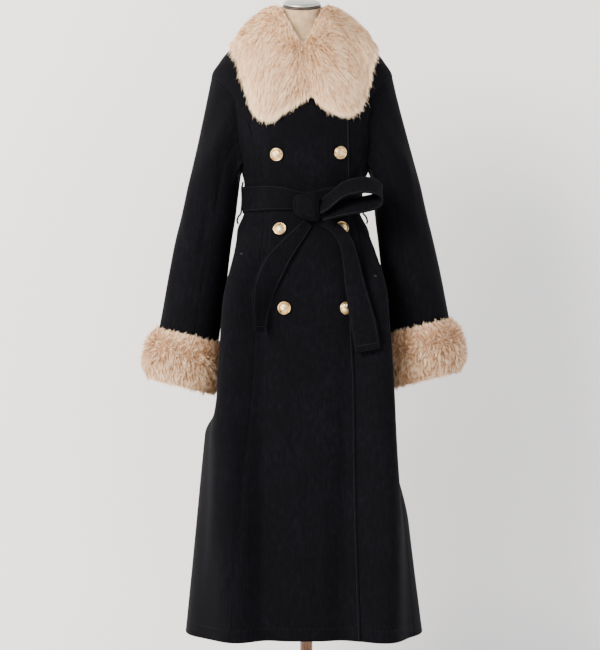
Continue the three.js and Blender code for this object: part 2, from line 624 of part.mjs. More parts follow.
// Belt: a band round the waist, pinched a little where it runs into the knot.
const KNOT = { x: 9, y: -119.2, z: 1058, wide: 28, deep: 15.8, tall: 27 };
const BELT_STATIONS = 52;
const BELT_SEAT = 0.8;
const lapUnder = (x, y) => (y > 0 ? 0 : smooth((x + 96) / 30) * (1 - smooth((x - 106) / 8)));
const beltRows = Array.from({ length: BELT_STATIONS }, (_, i) => (i * -360) / BELT_STATIONS);
const beltFace = (thickness) => beltRows.map((angle) => {
  const at = sectionPoint(angle, BELT_HIGH);
  const pinch = at.y < 0 ? Math.exp(-(((at.x - KNOT.x) / 42) ** 2)) : 0;
  const lift = BELT_SEAT + OVERLAP_LIFT * lapUnder(at.x, at.y) + thickness;
  const [low, high] = [BELT_LOW + pinch, BELT_HIGH + 1 - 15 * pinch];
  return steps(2).map((t) => coatPoint(angle, mix(low, high, t), lift));
});
add('belt_band', slab(beltFace(BELT_THICK), beltFace(0), true), CLOTH);

// Knot: a rounded block, a little taller on the side where the bow leaves it.
const KNOT_RINGS = 9;
const KNOT_SIDES = 16;
const knotRings = steps(KNOT_RINGS).map((t) => {
  const across = Math.sin((t - 0.5) * Math.PI * 0.94);
  const swell = Math.sqrt(1 - across * across) ** 0.7;
  return Array.from({ length: KNOT_SIDES }, (_, i) => {
    const angle = (i / KNOT_SIDES) * 2 * Math.PI;
    const round = (v) => Math.sign(v) * Math.abs(v) ** 0.75;
    return vec(
      KNOT.x + KNOT.wide * across,
      KNOT.y + KNOT.deep * swell * round(Math.cos(angle)),
      KNOT.z + (KNOT.tall + 2 * across) * swell * round(Math.sin(angle)) - 3 * across,
    );
  });
});
add('belt_knot', solidOfRings(knotRings), CLOTH);

// A flat strip of cloth through centres, each with a half width vector.
function strip(centres, halves, thickness, columns) {
  const normals = centres.map((_, i) => {
    const before = centres[Math.max(0, i - 1)];
    const after = centres[Math.min(centres.length - 1, i + 1)];
    return after.clone().sub(before).cross(halves[i]).setLength(thickness / 2);
  });
  const face = (sign) => centres.map((centre, i) => steps(columns).map((t) => {
    return centre.clone().addScaledVector(halves[i], 2 * t - 1).addScaledVector(normals[i], sign);
  }));
  return slab(face(1), face(-1));
}

// A smooth line through points, resampled evenly.
const smoothLine = (points, count) => new THREE.CatmullRomCurve3(points).getSpacedPoints(count);

// Bow: one loop to the wearer's left, its opening turned a little to the front.
const BOW_Y = -127;
const BOW_PATH = [
  [37.6, 1056], [56, 1069], [82, 1090], [108, 1099], [134, 1101], [154, 1095],
  [163, 1082], [154, 1070], [130, 1062], [104, 1058], [74, 1052], [42, 1042],
];
const BOW_HALF = vec(0, -20.5, -18);
const bowLine = smoothLine(BOW_PATH.map(([x, z]) => vec(x, BOW_Y, z)), 30);
add('belt_bow', strip(bowLine, bowLine.map(() => BOW_HALF), BELT_THICK, 2), CLOTH);

// Tails: strips from the knot, over the skirt. Each row gives the middle, the turn of the
// strip about its line (0 lies flat, 90 is edge on) and how far it stands off the skirt.
const TAIL_LEFT = [
  { x: 31, z: 1030.5, turn: 0, off: 9, wide: 0.34 }, { x: 64, z: 1016, turn: 0, off: 13, wide: 0.9 },
  { x: 89, z: 984, turn: 0, off: 12, wide: 1 }, { x: 99, z: 943, turn: 2, off: 11, wide: 1 },
  { x: 107, z: 898, turn: 3, off: 12, wide: 1 }, { x: 117, z: 852, turn: 3, off: 12, wide: 1 },
  { x: 126, z: 806, turn: 2, off: 8, wide: 1 }, { x: 133, z: 764, turn: 0, off: 4, wide: 1 },
];
const TAIL_RIGHT = [
  { x: 12, z: 1024.8, turn: 6, off: 7, wide: 0.4 }, { x: -7, z: 1001, turn: 8, off: 9, wide: 0.9 },
  { x: -36, z: 966, turn: 34, off: 6, wide: 1 }, { x: -57, z: 934, turn: 62, off: 5, wide: 1 },
  { x: -74, z: 894, turn: 70, off: 5, wide: 1 }, { x: -82, z: 852, turn: 68, off: 5, wide: 1 },
  { x: -85, z: 802, turn: 64, off: 5, wide: 1 },
];
const TAIL_HALF = 27;
const TAIL_ROWS = 16;
function tail(table, side) {
  const rows = smoothLine(table.map(({ x, z }) => vec(x, 0, z)), TAIL_ROWS);
  const turns = smoothLine(table.map(({ turn: t, off, wide }) => vec(t, off, 100 * wide)), TAIL_ROWS);
  const centres = [];
  const halves = [];
  rows.forEach((row, i) => {
    const before = rows[Math.max(0, i - 1)];
    const along = rows[Math.min(TAIL_ROWS, i + 1)].clone().sub(before).normalize();
    const tip = radians(turns[i].x);
    const half = vec(-along.z * side, 0, along.x * side).multiplyScalar(Math.cos(tip));
    half.y = -Math.sin(tip);
    half.multiplyScalar((TAIL_HALF * turns[i].z) / 100);
    const under = [-1, 0, 1].map((t) => frontPoint(row.x + t * half.x, row.z, OVERLAP_LIFT).y);
    centres.push(vec(row.x, Math.min(...under) - turns[i].y + half.y, row.z));
    halves.push(half);
  });
  return strip(centres, halves, BELT_THICK, 3);
}
add('belt_tail_left', tail(TAIL_LEFT, 1), CLOTH);
add('belt_tail_right', tail(TAIL_RIGHT, -1), CLOTH);

// Belt carriers: narrow strips over the belt at both sides, loose below it.
const CARRIER_PATH = [
  { z: 1116, lift: 2.6 }, { z: 1109, lift: 3.6 }, { z: 1104, lift: 5.2 }, { z: 1077, lift: 5.4 },
  { z: 1050, lift: 6.5 }, { z: 1040, lift: 8.5 }, { z: 1031, lift: 7 }, { z: 1027, lift: 2.2 },
];
[[-177, 'right'], [-3, 'left']].forEach(([angle, name]) => {
  const centres = CARRIER_PATH.map(({ z, lift }) => coatPoint(angle, z, lift));
  add(`carrier_${name}`, strip(centres, centres.map(() => vec(0, 4, 0)), 1.4, 1), CLOTH);
});

// Buttons: six turned discs with a raised rim, a groove and a low dome.
const BUTTON_PROFILE = [
  [0, 0], [0.9, 0], [1, 0.12], [0.94, 0.3], [0.85, 0.3], [0.76, 0.22], [0.66, 0.32], [0.34, 0.46], [0, 0.5],
];
const BUTTON_SIDES = 14;
const BUTTONS = [
  { x: -51, z: 1165 }, { x: 77, z: 1169 }, { x: -45, z: 1011 }, { x: 81, z: 1014 },
  { x: -36, z: 850 }, { x: 89, z: 850 },
];
const buttonShape = new THREE.LatheGeometry(
  BUTTON_PROFILE.map(([r, h]) => new THREE.Vector2(r * BUTTON_RADIUS, h * BUTTON_RADIUS)),
  BUTTON_SIDES,
);
BUTTONS.forEach(({ x, z }, i) => {
  const seat = frontPoint(x, z, OVERLAP_LIFT + GAP);
  const out = frontPoint(x, z, OVERLAP_LIFT + GAP + 1).sub(seat).normalize();
  const button = add(`button_${i + 1}`, buttonShape, GOLD);
  button.position.copy(seat);
  button.quaternion.setFromUnitVectors(vec(0, 1, 0), out);
});

// Dress form: a smooth bust whose shoulders carry the coat, on a pole and a round base.
const FORM = [
  { z: 905, half: 92, front: 64, back: 68 }, { z: 913, half: 106, front: 75, back: 80 },
  { z: 940, half: 112, front: 84, back: 91 }, { z: 975, half: 118, front: 88, back: 93 },
  { z: 1020, half: 117, front: 88, back: 86 }, { z: 1060, half: 111, front: 84, back: 74 },
  { z: 1100, half: 112, front: 86, back: 74 }, { z: 1150, half: 118, front: 95, back: 84 },
  { z: 1200, half: 126, front: 104, back: 91 }, { z: 1250, half: 140, front: 102, back: 94 },
  { z: 1300, half: 160, front: 92, back: 93 }, { z: 1335, half: 171, front: 84, back: 86 },
  { z: 1436, half: 48, front: 42, back: 46 }, { z: 1448, half: 43, front: 41, back: 43 },
  { z: 1458, half: 41.5, front: 40, back: 42 },
  { z: NECK_TOP_Z, half: NECK_RADIUS, front: NECK_RADIUS, back: NECK_RADIUS },
];
const FORM_LEVELS = [
  905, 913, 940, 975, 1020, 1060, 1100, 1150, 1200, 1250, 1300, 1335, 1348, 1368, 1389, 1405,
  1421, 1434, 1441, 1448, 1458, NECK_TOP_Z,
];
const FORM_SIDES = 28;
const FORM_SQUARE = 2.2;
// How far the form lies inside the coat's outer face, at the shoulder and at the neck.
const FORM_REST = WALL + 3.8;
const FORM_NECK_REST = WALL + 10;
const formRings = FORM_LEVELS.map((z) => Array.from({ length: FORM_SIDES }, (_, i) => {
  const angle = (i * 360) / FORM_SIDES;
  const [c, s] = [Math.cos(radians(angle)), Math.sin(radians(angle))];
  const shoulder = smooth((z - SHOULDER_Z) / 16) * (z < NECK_SIDE_Z - 8 ? 1 : 0);
  const depth = readTable(FORM, z, s < 0 ? 'front' : 'back');
  const [across, out] = [Math.abs(c) / readTable(FORM, z, 'half'), Math.abs(s) / depth];
  const radius = (across ** FORM_SQUARE + out ** FORM_SQUARE) ** (-1 / FORM_SQUARE);
  const own = vec(radius * c, radius * s, z);
  own.z += own.y * Math.tan(radians(CAP_TILT)) * smooth((z - 1450) / (NECK_TOP_Z - 1450));
  const rest = mix(FORM_REST, FORM_NECK_REST, smooth((z - 1350) / 34));
  return own.lerp(coatPoint(angle, z, -rest), shoulder);
}));
add('form_bust', solidOfRings(formRings), LINEN);

const turned = (profile, sides) => new THREE.LatheGeometry(
  profile.map(([r, h]) => new THREE.Vector2(r, h)),
  sides,
).rotateX(Math.PI / 2);
const cap = new THREE.Group();
cap.position.set(0, 0, NECK_TOP_Z + GAP);
cap.rotation.x = radians(CAP_TILT);
group.add(cap);
add('form_cap_rim', turned([[0, 0], [39.5, 0], [40.5, 1.5], [39.5, 4], [0, 4]], 24), WOOD, cap);
const disc = add('form_cap', turned([[0, 0], [37, 0], [38.5, 2], [36, 6], [20, 8.5], [0, 9]], 24), SATIN, cap);
disc.position.z = 4 + GAP;
const pole = add('form_pole', turned([[0, 0], [POLE_RADIUS, 0], [POLE_RADIUS, 1], [0, 1]], 24), WOOD);
pole.scale.z = FORM_LEVELS[0] - BASE_HEIGHT - 2 * GAP;
pole.position.set(POLE_X, 0, BASE_HEIGHT + GAP);
const SOCKET_BORE = POLE_RADIUS + GAP;
const socket = turned(
  [[SOCKET_BORE, 0], [32, 0], [30, 5], [20, 14], [SOCKET_BORE, 16], [SOCKET_BORE, 0]],
  24,
);
add('form_socket', socket, WOOD).position.set(POLE_X, 0, BASE_HEIGHT + GAP);
const plate = turned([
  [0, 0], [BASE_RADIUS - 2, 0], [BASE_RADIUS, 2], [BASE_RADIUS, 9], [BASE_RADIUS - 6, BASE_HEIGHT],
  [0, BASE_HEIGHT],
], 40);
add('form_base', plate, WOOD);

export default group;
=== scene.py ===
# %% [markdown]
# # A double-breasted coat with a fur collar, on a dress form
#
# The coat is sewn from wool melton: a thick cloth that is woven, shrunk and brushed until
# no thread shows. A fur collar and two fur cuffs are laid on it, a belt of the same cloth
# is knotted at the waist, and six gilt buttons close it. It hangs on a covered bust.
#
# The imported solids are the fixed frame. Each piece below is made again on its solid's own
# form, finer and with the soft detail that a solid leaves out. It could be sculpted by
# hand, but then no two panels would meet at their seam. Here every panel is cut from one
# body surface that is worked out with numpy, so the seams always match.

import math

import bpy
import numpy as np
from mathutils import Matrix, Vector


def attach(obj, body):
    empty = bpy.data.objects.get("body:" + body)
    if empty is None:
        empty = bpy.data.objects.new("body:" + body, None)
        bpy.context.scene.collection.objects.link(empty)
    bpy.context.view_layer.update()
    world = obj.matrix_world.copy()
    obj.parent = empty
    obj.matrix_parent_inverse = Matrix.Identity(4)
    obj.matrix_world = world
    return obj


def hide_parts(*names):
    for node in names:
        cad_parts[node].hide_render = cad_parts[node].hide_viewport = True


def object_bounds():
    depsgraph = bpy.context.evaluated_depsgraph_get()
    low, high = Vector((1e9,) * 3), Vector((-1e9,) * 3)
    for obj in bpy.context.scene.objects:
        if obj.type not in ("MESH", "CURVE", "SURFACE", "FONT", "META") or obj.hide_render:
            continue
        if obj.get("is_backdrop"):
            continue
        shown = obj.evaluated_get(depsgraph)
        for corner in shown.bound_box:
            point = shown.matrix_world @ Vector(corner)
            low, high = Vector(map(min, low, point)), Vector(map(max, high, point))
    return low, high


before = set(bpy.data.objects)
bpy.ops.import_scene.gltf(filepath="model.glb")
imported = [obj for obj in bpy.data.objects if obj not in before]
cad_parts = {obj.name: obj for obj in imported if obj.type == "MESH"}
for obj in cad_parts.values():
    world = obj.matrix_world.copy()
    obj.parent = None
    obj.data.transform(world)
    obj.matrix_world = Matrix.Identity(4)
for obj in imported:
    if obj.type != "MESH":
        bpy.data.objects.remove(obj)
cad_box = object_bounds()
print("packed solids:", len(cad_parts), "from", tuple(cad_box[0]), "to", tuple(cad_box[1]))

# %% [markdown]
# ## The camera
#
# The photo is taken level, from about four metres in front, with a long lens, so the coat's
# sides stay almost parallel. The camera comes first because it gives every measure its
# place: 2.1 mm of coat to one pixel of a picture that is 600 wide and 650 high.

# %% Camera
MM = 0.001
EYE = np.array([-4.2, -4000.0, 816.0]) * MM
FOCAL_PIXELS = 1904.76
PICTURE_HEIGHT = 650


def linked(name, data):
    """An object of that name for the data, put in the scene."""
    made = bpy.data.objects.new(name, data)
    bpy.context.scene.collection.objects.link(made)
    return made


camera_data = bpy.data.cameras.new("camera")
camera_data.sensor_width = 36
camera_data.lens = FOCAL_PIXELS * camera_data.sensor_width / PICTURE_HEIGHT
camera = linked("camera", camera_data)
camera.location = EYE
camera.rotation_euler = (math.radians(90), 0, 0)
bpy.context.scene.camera = camera
print("lens", round(camera_data.lens, 1), "mm")

# %% [markdown]
# ## Reading a table
#
# A pattern cutter keeps a few measures at named heights and draws a smooth line through
# them. The tables below do the same: a row for each height, a column for each measure. A
# spline object could hold them, but a short formula on arrays reads any height at once.

# %% Tables and smooth curves
def columns(names, rows):
    """A table with named columns, one array for each name."""
    return dict(zip(names.split(), np.array(rows, float).T))


def smooth(t):
    """A soft step from 0 to 1: three t squared less two t cubed, held at both ends."""
    t = np.clip(t, 0, 1)
    return t * t * (3 - 2 * t)


def cubic(p, q, leave, arrive, t):
    """The cubic from p to q that leaves and arrives with the two given slopes."""
    return ((2 * t**3 - 3 * t**2 + 1) * p + (t**3 - 2 * t**2 + t) * leave
            + (3 * t**2 - 2 * t**3) * q + (t**3 - t**2) * arrive)


def read(table, at, key, axis="z"):
    """A column at any height: cubics whose slope at a row is that between its neighbours."""
    x, y = table[axis], table[key]
    at = np.asarray(at, float)
    last = len(x) - 1
    row = np.arange(last + 1)
    after, before = np.minimum(row + 1, last), np.maximum(row - 1, 0)
    slope = (y[after] - y[before]) / (x[after] - x[before])
    i = np.clip(np.searchsorted(x, at) - 1, 0, last - 1)
    span = x[i + 1] - x[i]
    t = np.clip((at - x[i]) / span, 0, 1)
    return cubic(y[i], y[i + 1], span * slope[i], span * slope[i + 1], t)


def through(stations, at, loop=False):
    """A smooth curve through numbered stations, read at fractional numbers."""
    p = np.asarray(stations, float)
    count = len(p)
    if loop:
        p = np.concatenate([p[-1:], p, p[:2]])
        i = np.floor(at).astype(int) % count + 1
        t = at - np.floor(at)
    else:
        p = np.concatenate([2 * p[:1] - p[1:2], p, 2 * p[-1:] - p[-2:-1]])
        i = np.clip(np.floor(at).astype(int), 0, count - 2) + 1
        t = at - (i - 1)
    t = t.reshape(t.shape + (1,) * (p.ndim - 1))
    return cubic(p[i], p[i + 1], (p[i + 1] - p[i - 1]) / 2, (p[i + 2] - p[i]) / 2, t)


def unit(v):
    """Each vector divided by its length."""
    return v / np.maximum(np.linalg.norm(v, axis=-1, keepdims=True), 1e-9)


# %% [markdown]
# ## The coat's body surface
#
# Seen from above, the coat is a rounded rectangle: narrow at the belt, wide at the hem. A
# superellipse gives that with one number for its squareness. The skirt's folds are then
# pushed out or in along the outline, each as a soft hump that drifts and grows on its way
# down. Cloth simulation could drop the folds in, but they would land in other places than
# the photo's.

# %% Body surface
WALL, GAP = 2, 0.3
HEM_Z, BELT_LOW, BELT_HIGH = 180, 1050, 1104
UNDERARM_Z, SEAM_TOP_Z, SHOULDER_Z, NECK_SIDE_Z = 1140, 1276, 1335, 1438
OVERLAP_LIFT = WALL + 1
SECTIONS = columns("z half front back square shift", [
    (180, 247, 172, 180, 3.0, 4), (320, 231, 167, 172, 3.0, 2), (520, 210, 158, 160, 2.9, 0),
    (660, 196, 150, 150, 2.9, 0), (808, 181, 138, 136, 2.8, 0), (900, 172, 130, 125, 2.7, 0),
    (973, 160, 121, 112, 2.6, 0), (1012, 145, 111, 99, 2.5, 0), (1038, 127, 100, 88, 2.4, 0),
    (1054, 121, 96, 84, 2.4, 0), (1102, 121, 97, 84, 2.4, 0), (1118, 126, 102, 89, 2.4, 4),
    (1140, 134, 108, 95, 2.4, 6), (1190, 146, 116, 101, 2.4, 4), (1235, 157, 117, 104, 2.4, 2),
    (1283, 169, 108, 105, 2.4, 1), (1335, 190, 94, 96, 2.3, 0), (1368, 172, 84, 86, 2.3, 0),
    (1389, 155, 78, 80, 2.2, 0), (1403, 134, 73, 75, 2.2, 0), (1421, 98, 65, 67, 2.1, 0),
    (1438, 60, 54, 60, 2.0, 0), (1454, 50, 50, 55, 2.0, 0), (1500, 47, 48, 54, 2.0, 0),
])
FOLDS = columns("waist hem spread reach top full fade end", [
    (-148, -129, 8, 36, 1046, 850, -2, -1), (-122, -115, 6, -15, 1000, 300, -2, -1),
    (-29, -45, 7, 45, 1050, 880, -2, -1), (-52, -66, 6, -12, 960, 300, -2, -1),
    (180, 178, 20, -44, 1046, 930, 676, 590), (0, 2, 20, -36, 1040, 920, 640, 400),
    (151, 141, 8, 26, 1020, 500, -2, -1), (29, 38, 8, 28, 1020, 480, -2, -1),
    (124, 119, 8, -17, 1000, 320, -2, -1), (54, 60, 8, -15, 990, 320, -2, -1),
    (97, 95, 11, 16, 980, 300, -2, -1),
])


def fold_at(angle, z):
    """The sum of all folds: each a Gaussian hump across, grown by a soft step down the skirt."""
    f = {key: value.reshape((-1,) + (1,) * np.ndim(z)) for key, value in FOLDS.items()}
    down = np.clip((z - HEM_Z) / (BELT_LOW - HEM_Z), 0, 1)
    middle = f["hem"] + (f["waist"] - f["hem"]) * down
    off = ((angle - middle + 180) % 360 - 180) / f["spread"]
    grown = smooth((f["top"] - z) / (f["top"] - f["full"]))
    left = smooth((z - f["end"]) / np.where(f["fade"] < 0, 1, f["fade"] - f["end"]))
    return (f["reach"] * np.exp(-off * off / 2) * grown * left).sum(0)


def section(angle, z):
    """Superellipse: radius = (|cos/half|^n + |sin/depth|^n)^(-1/n). 0 is +X, -90 the front."""
    angle, z = np.broadcast_arrays(np.asarray(angle, float), np.asarray(z, float))
    c, s = np.cos(np.radians(angle)), np.sin(np.radians(angle))
    n = read(SECTIONS, z, "square")
    depth = np.where(s < 0, read(SECTIONS, z, "front"), read(SECTIONS, z, "back"))
    radius = (np.abs(c / read(SECTIONS, z, "half"))**n + np.abs(s / depth)**n)**(-1 / n)
    return np.stack([read(SECTIONS, z, "shift") + radius * c, radius * s, z], -1)


def folded(angle, z):
    """The section pushed out along its outline's normal by the folds there."""
    point = section(angle, z)
    along = unit(section(angle + 0.5, z) - section(angle - 0.5, z))
    out = np.stack([along[..., 1], -along[..., 0], np.zeros(along.shape[:-1])], -1)
    push = np.where(point[..., 2] < BELT_LOW, fold_at(angle, point[..., 2]), 0)
    return point + out * push[..., None]


def coat_normal(angle, z):
    """The outward normal: the direction across, crossed with the direction up."""
    across = folded(angle + 0.4, z) - folded(angle - 0.4, z)
    return unit(np.cross(across, folded(angle, z + 1.5) - folded(angle, z - 1.5)))


def coat(angle, z, lift=0):
    """A point of the coat's outer face, moved out along its normal by lift millimetres."""
    angle, z, lift = np.broadcast_arrays(*(np.asarray(v, float) for v in (angle, z, lift)))
    return folded(angle, z) + coat_normal(angle, z) * lift[..., None]


def angle_at(x, z, surface):
    """The angle on the front half where the surface lies at x, found by halving."""
    x, z = np.broadcast_arrays(np.asarray(x, float), np.asarray(z, float))
    low, high = np.full(x.shape, -180.0), np.zeros(x.shape)
    for _ in range(32):
        middle = (low + high) / 2
        left_of = surface(middle, z)[..., 0] < x
        low, high = np.where(left_of, middle, low), np.where(left_of, high, middle)
    return (low + high) / 2


def front_angle(x, z):
    """The angle of a seam that the front view shows at x."""
    return angle_at(x, z, section)


print("waist", round(float(2 * SECTIONS["half"][9])), "mm across, hem",
      round(float(2 * SECTIONS["half"][0])), "mm")

# %% [markdown]
# ## Soft creases
#
# Heavy melton doesn't wrinkle; it rolls. Over the panels lie long soft ridges and troughs
# a few millimetres high, where the arm bends, where the belt gathers the waist and where
# the skirt breaks. They are placed one by one, each as a line in the front or back view with
# its own width and height. A noise texture would make them all alike.

# %% Crease tables
CREASES = columns("face x0 z0 x1 z1 width high", [
    (-1, 205, 985, 168, 890, 9, -3.2), (-1, 226, 1010, 262, 905, 12, 2.2),
    (-1, 213, 1185, 240, 985, 11, 3.0), (-1, 240, 985, 246, 860, 10, 2.4),
    (-1, -228, 1195, -246, 1010, 13, 2.6), (-1, -190, 1080, -214, 930, 10, -2.4),
    (-1, -262, 1010, -285, 850, 12, 2.2), (-1, -164, 1190, -176, 1040, 9, -2.2),
    (-1, -212, 960, -262, 930, 10, -1.8), (-1, 176, 1075, 214, 1035, 8, -2.0),
    (1, 200, 1010, 252, 940, 12, -2.6), (1, -206, 1000, -258, 935, 12, -2.4),
    (1, 222, 1190, 240, 1010, 13, 2.6), (1, -222, 1190, -240, 1005, 13, 2.8),
    (1, -186, 1120, -230, 1060, 9, -2.0), (1, 190, 1110, 236, 1058, 9, -1.8),
    (-1, -100, 1046, -128, 940, 6, 2.2), (-1, -82, 1046, -98, 962, 5, -1.6),
    (-1, -68, 1046, -74, 985, 5, 1.2), (-1, 118, 1046, 150, 930, 6, 2.0),
    (-1, 104, 1046, 126, 950, 5, -1.8), (-1, -6, 1040, -2, 990, 6, -1.2),
    (-1, -104, 1106, -118, 1180, 6, 1.8), (-1, -78, 1106, -84, 1165, 6, -1.4),
    (-1, -40, 1106, -52, 1146, 6, 1.2), (-1, 36, 1106, 40, 1160, 7, -1.3),
    (-1, 92, 1106, 108, 1172, 6, 1.6), (-1, 62, 1106, 66, 1150, 6, 1.0),
    (-1, -112, 640, -140, 250, 14, -2.6), (-1, -60, 560, -66, 186, 12, 2.2),
    (-1, 20, 480, 30, 186, 14, -2.0), (-1, 168, 620, 196, 220, 12, 2.4),
    (-1, 66, 700, 76, 320, 10, 1.4), (-1, -170, 560, -196, 240, 12, 2.2),
    (1, -70, 1046, -92, 940, 7, 2.2), (1, 66, 1046, 88, 930, 7, 2.4),
    (1, -30, 1046, -38, 960, 6, -1.8), (1, 34, 1046, 30, 950, 6, -1.6),
    (1, -60, 1106, -80, 1180, 7, 1.8), (1, 52, 1106, 78, 1176, 7, 1.6),
    (1, 0, 1106, 2, 1168, 7, -1.6), (1, -44, 620, -60, 190, 14, -2.6),
    (1, 40, 560, 58, 190, 14, -2.4), (1, 150, 560, 176, 210, 12, 2.0),
])


def relief(points, normals):
    """Ridges on lines of the front (face -1) or back view: (1 - d^2) exp(-d^2) across, where
    d is the distance from the line in widths, fading over the line's last fifths."""
    flat, high = points[..., [0, 2]], np.zeros(points.shape[:-1])
    for face, x0, z0, x1, z1, width, reach in zip(*CREASES.values()):
        start, line = np.array([x0, z0]), np.array([x1 - x0, z1 - z0])
        t = ((flat - start) @ line) / (line @ line)
        off = np.linalg.norm(flat - start - t[..., None] * line, axis=-1) / width
        near = smooth((t + 0.06) / 0.3) * smooth((1.1 - t) / 0.35)
        facing = smooth(face * normals[..., 1] * 1.6 + 0.1)
        high += reach * (1 - 0.6 * off**2) * np.exp(-off**2) * near * facing
    return high


print("creases placed by hand:", len(CREASES["face"]))

# %% [markdown]
# ## From arrays to meshes
#
# A cloth piece is two grids of points, its face and its back, with a narrow wall between
# them along every open edge. Solidify would do the same from one grid, but it can't thin
# the edges, and cloth is thinner where it is pressed at a seam.

# %% Mesh helpers
CREASE_ANGLE = math.radians(55)


def quads(rows, cols, start=0, loop_rows=False, loop_cols=False):
    """The faces of a grid of numbered points, four corners each, with loops if asked."""
    r = np.arange(rows if loop_rows else rows - 1)[:, None]
    c = np.arange(cols if loop_cols else cols - 1)[None, :]
    r2, c2 = (r + 1) % rows, (c + 1) % cols
    corners = (r * cols + c, r * cols + c2, r2 * cols + c2, r2 * cols + c)
    return start + np.stack(corners, -1).reshape(-1, 4)


def mesh_of(name, points, faces, attributes=(), normals=None):
    """A smooth mesh of quads, with a triangle where the last two corners are the same. Points
    are in millimetres. The faces are turned over if they close a negative volume."""
    points = np.asarray(points, float).reshape(-1, 3) * MM
    p, q, r = points[faces[:, 0]], points[faces[:, 1]], points[faces[:, 2]]
    if normals is None and np.einsum("ij,ij->", p, np.cross(q, r)) < 0:
        faces = faces[:, [0, 3, 2, 1]]
        faces = np.where((faces[:, 1:2] == faces[:, 2:3]), faces[:, [0, 1, 3, 3]], faces)
    triangle = faces[:, 2] == faces[:, 3]
    sizes = np.where(triangle, 3, 4)
    keep = np.ones(faces.shape, bool)
    keep[:, 3] = ~triangle
    mesh = bpy.data.meshes.new(name)
    mesh.vertices.add(len(points))
    mesh.vertices.foreach_set("co", points.ravel())
    mesh.loops.add(int(sizes.sum()))
    mesh.loops.foreach_set("vertex_index", faces[keep])
    mesh.polygons.add(len(faces))
    mesh.polygons.foreach_set("loop_start", np.cumsum(sizes) - sizes)
    mesh.polygons.foreach_set("use_smooth", np.ones(len(faces), bool))
    mesh.update(calc_edges=True)
    mesh.validate()
    for key, value in dict(attributes).items():
        layer = mesh.attributes.new(key, "FLOAT", "POINT")
        layer.data.foreach_set("value", np.asarray(value, np.float32).ravel())
    if normals is None:
        mesh.set_sharp_from_angle(angle=CREASE_ANGLE)
    else:
        mesh.normals_split_custom_set_from_vertices(normals.reshape(-1, 3))
    return mesh


def wall_faces(rows, cols, loop=False):
    """The faces that close a wall between a face grid and a back grid numbered after it."""
    count = rows * cols
    number = np.arange(count).reshape(rows, cols)
    edges = [number[:, 0], number[::-1, -1]]
    if loop:
        edges = [np.append(edges[0], edges[0][0]), np.append(edges[1], edges[1][0])]
    else:
        edges += [number[-1, :], number[0, ::-1]]
    strips = [np.stack([e[:-1], e[1:], e[1:] + count, e[:-1] + count], -1) for e in edges]
    front = quads(rows, cols, 0, loop_rows=loop)
    back = quads(rows, cols, count, loop_rows=loop)[:, ::-1]
    return np.concatenate([front, back, *strips])


def area_of(grid):
    """The area of a grid of points in square millimetres: half of both diagonals crossed."""
    one, two = grid[1:, 1:] - grid[:-1, :-1], grid[1:, :-1] - grid[:-1, 1:]
    return float(np.linalg.norm(np.cross(one, two), axis=-1).sum() / 2)


def put(name, mesh, material, replaced=None):
    """An object for the mesh that rides on the root, in place of the named solid."""
    piece = linked(name, mesh)
    mesh.materials.append(material)
    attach(piece, "root")
    if replaced:
        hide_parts(replaced)
    return piece


def lengths(grid):
    """The longest row and the longest column of a grid, in millimetres."""
    across = np.linalg.norm(np.diff(grid, axis=1), axis=-1).sum(1).max()
    along = np.linalg.norm(np.diff(grid, axis=0), axis=-1).sum(0).max()
    return float(across), float(along)


CUTS = {}


def declare_cloth(piece, grid, loop=False):
    """Says how the piece was cut: its longest width and length, and its measured area."""
    if loop:
        grid = np.concatenate([grid, grid[:1]])
    size = sorted(side * MM for side in lengths(grid))
    area = area_of(grid) * MM**2
    CUTS[piece.name] = (round(size[0], 3), round(size[1], 3), round(area, 4))


# %% [markdown]
# ## Adding a node
#
# Every material below is a small tree of nodes. One function adds a node, sets it up and
# links it. Colours are written as sRGB hex values, and are turned to the linear values that
# light is added up in.

# %% Material helpers
def linear(hex_code):
    """sRGB to linear: ((v + 0.055) / 1.055) ^ 2.4 for each channel, with full opacity."""
    parts = [int(hex_code[i:i + 2], 16) / 255 for i in (1, 3, 5)]
    return [v / 12.92 if v < 0.04045 else ((v + 0.055) / 1.055)**2.4 for v in parts] + [1]


def wire(tree, made, **links):
    """Gives sockets of a node, by name, a value or another node's output. An underscore stands
    for a space, and before a number for a socket that shares its name."""
    for key, value in links.items():
        socket = made.inputs[int(key[1:])] if key[0] == "_" else made.inputs[key.replace("_", " ")]
        if isinstance(value, bpy.types.NodeSocket):
            tree.links.new(value, socket)
        else:
            socket.default_value = value


def node(tree, kind, settings=None, **links):
    """Adds a node of a kind, with its own settings and its links. A colour ramp's stops are
    pairs of a place and a hex colour."""
    made = tree.nodes.new(f"ShaderNode{kind}")
    for key, value in (settings or {}).items():
        if key == "stops":
            while len(made.color_ramp.elements) < len(value):
                made.color_ramp.elements.new(0.5)
            for element, (place, colour) in zip(made.color_ramp.elements, value):
                element.position, element.color = place, linear(colour)
        else:
            setattr(made, key, value)
    wire(tree, made, **links)
    return made


def new_material(name, **surface):
    """A material with an empty tree and a Principled surface that has these values."""
    made = bpy.data.materials.new(name)
    made.use_nodes = True
    tree = made.node_tree
    tree.nodes.clear()
    shader = node(tree, "BsdfPrincipled", **surface)
    output = node(tree, "OutputMaterial", Surface=shader.outputs[0])
    output.location = (300, 0)
    return made, tree, shader


# %% [markdown]
# ## Wool melton
#
# Melton is milled until its weave is gone, then brushed and cropped, so it has a short flat
# nap and almost no gloss. To the eye it is a deep soft black with a breath of navy, a
# little paler where the nap catches the light. The nap is about half a millimetre long,
# too fine for a pixel of 2.1 mm, so a coarser mottle of 5 mm carries it in the render.

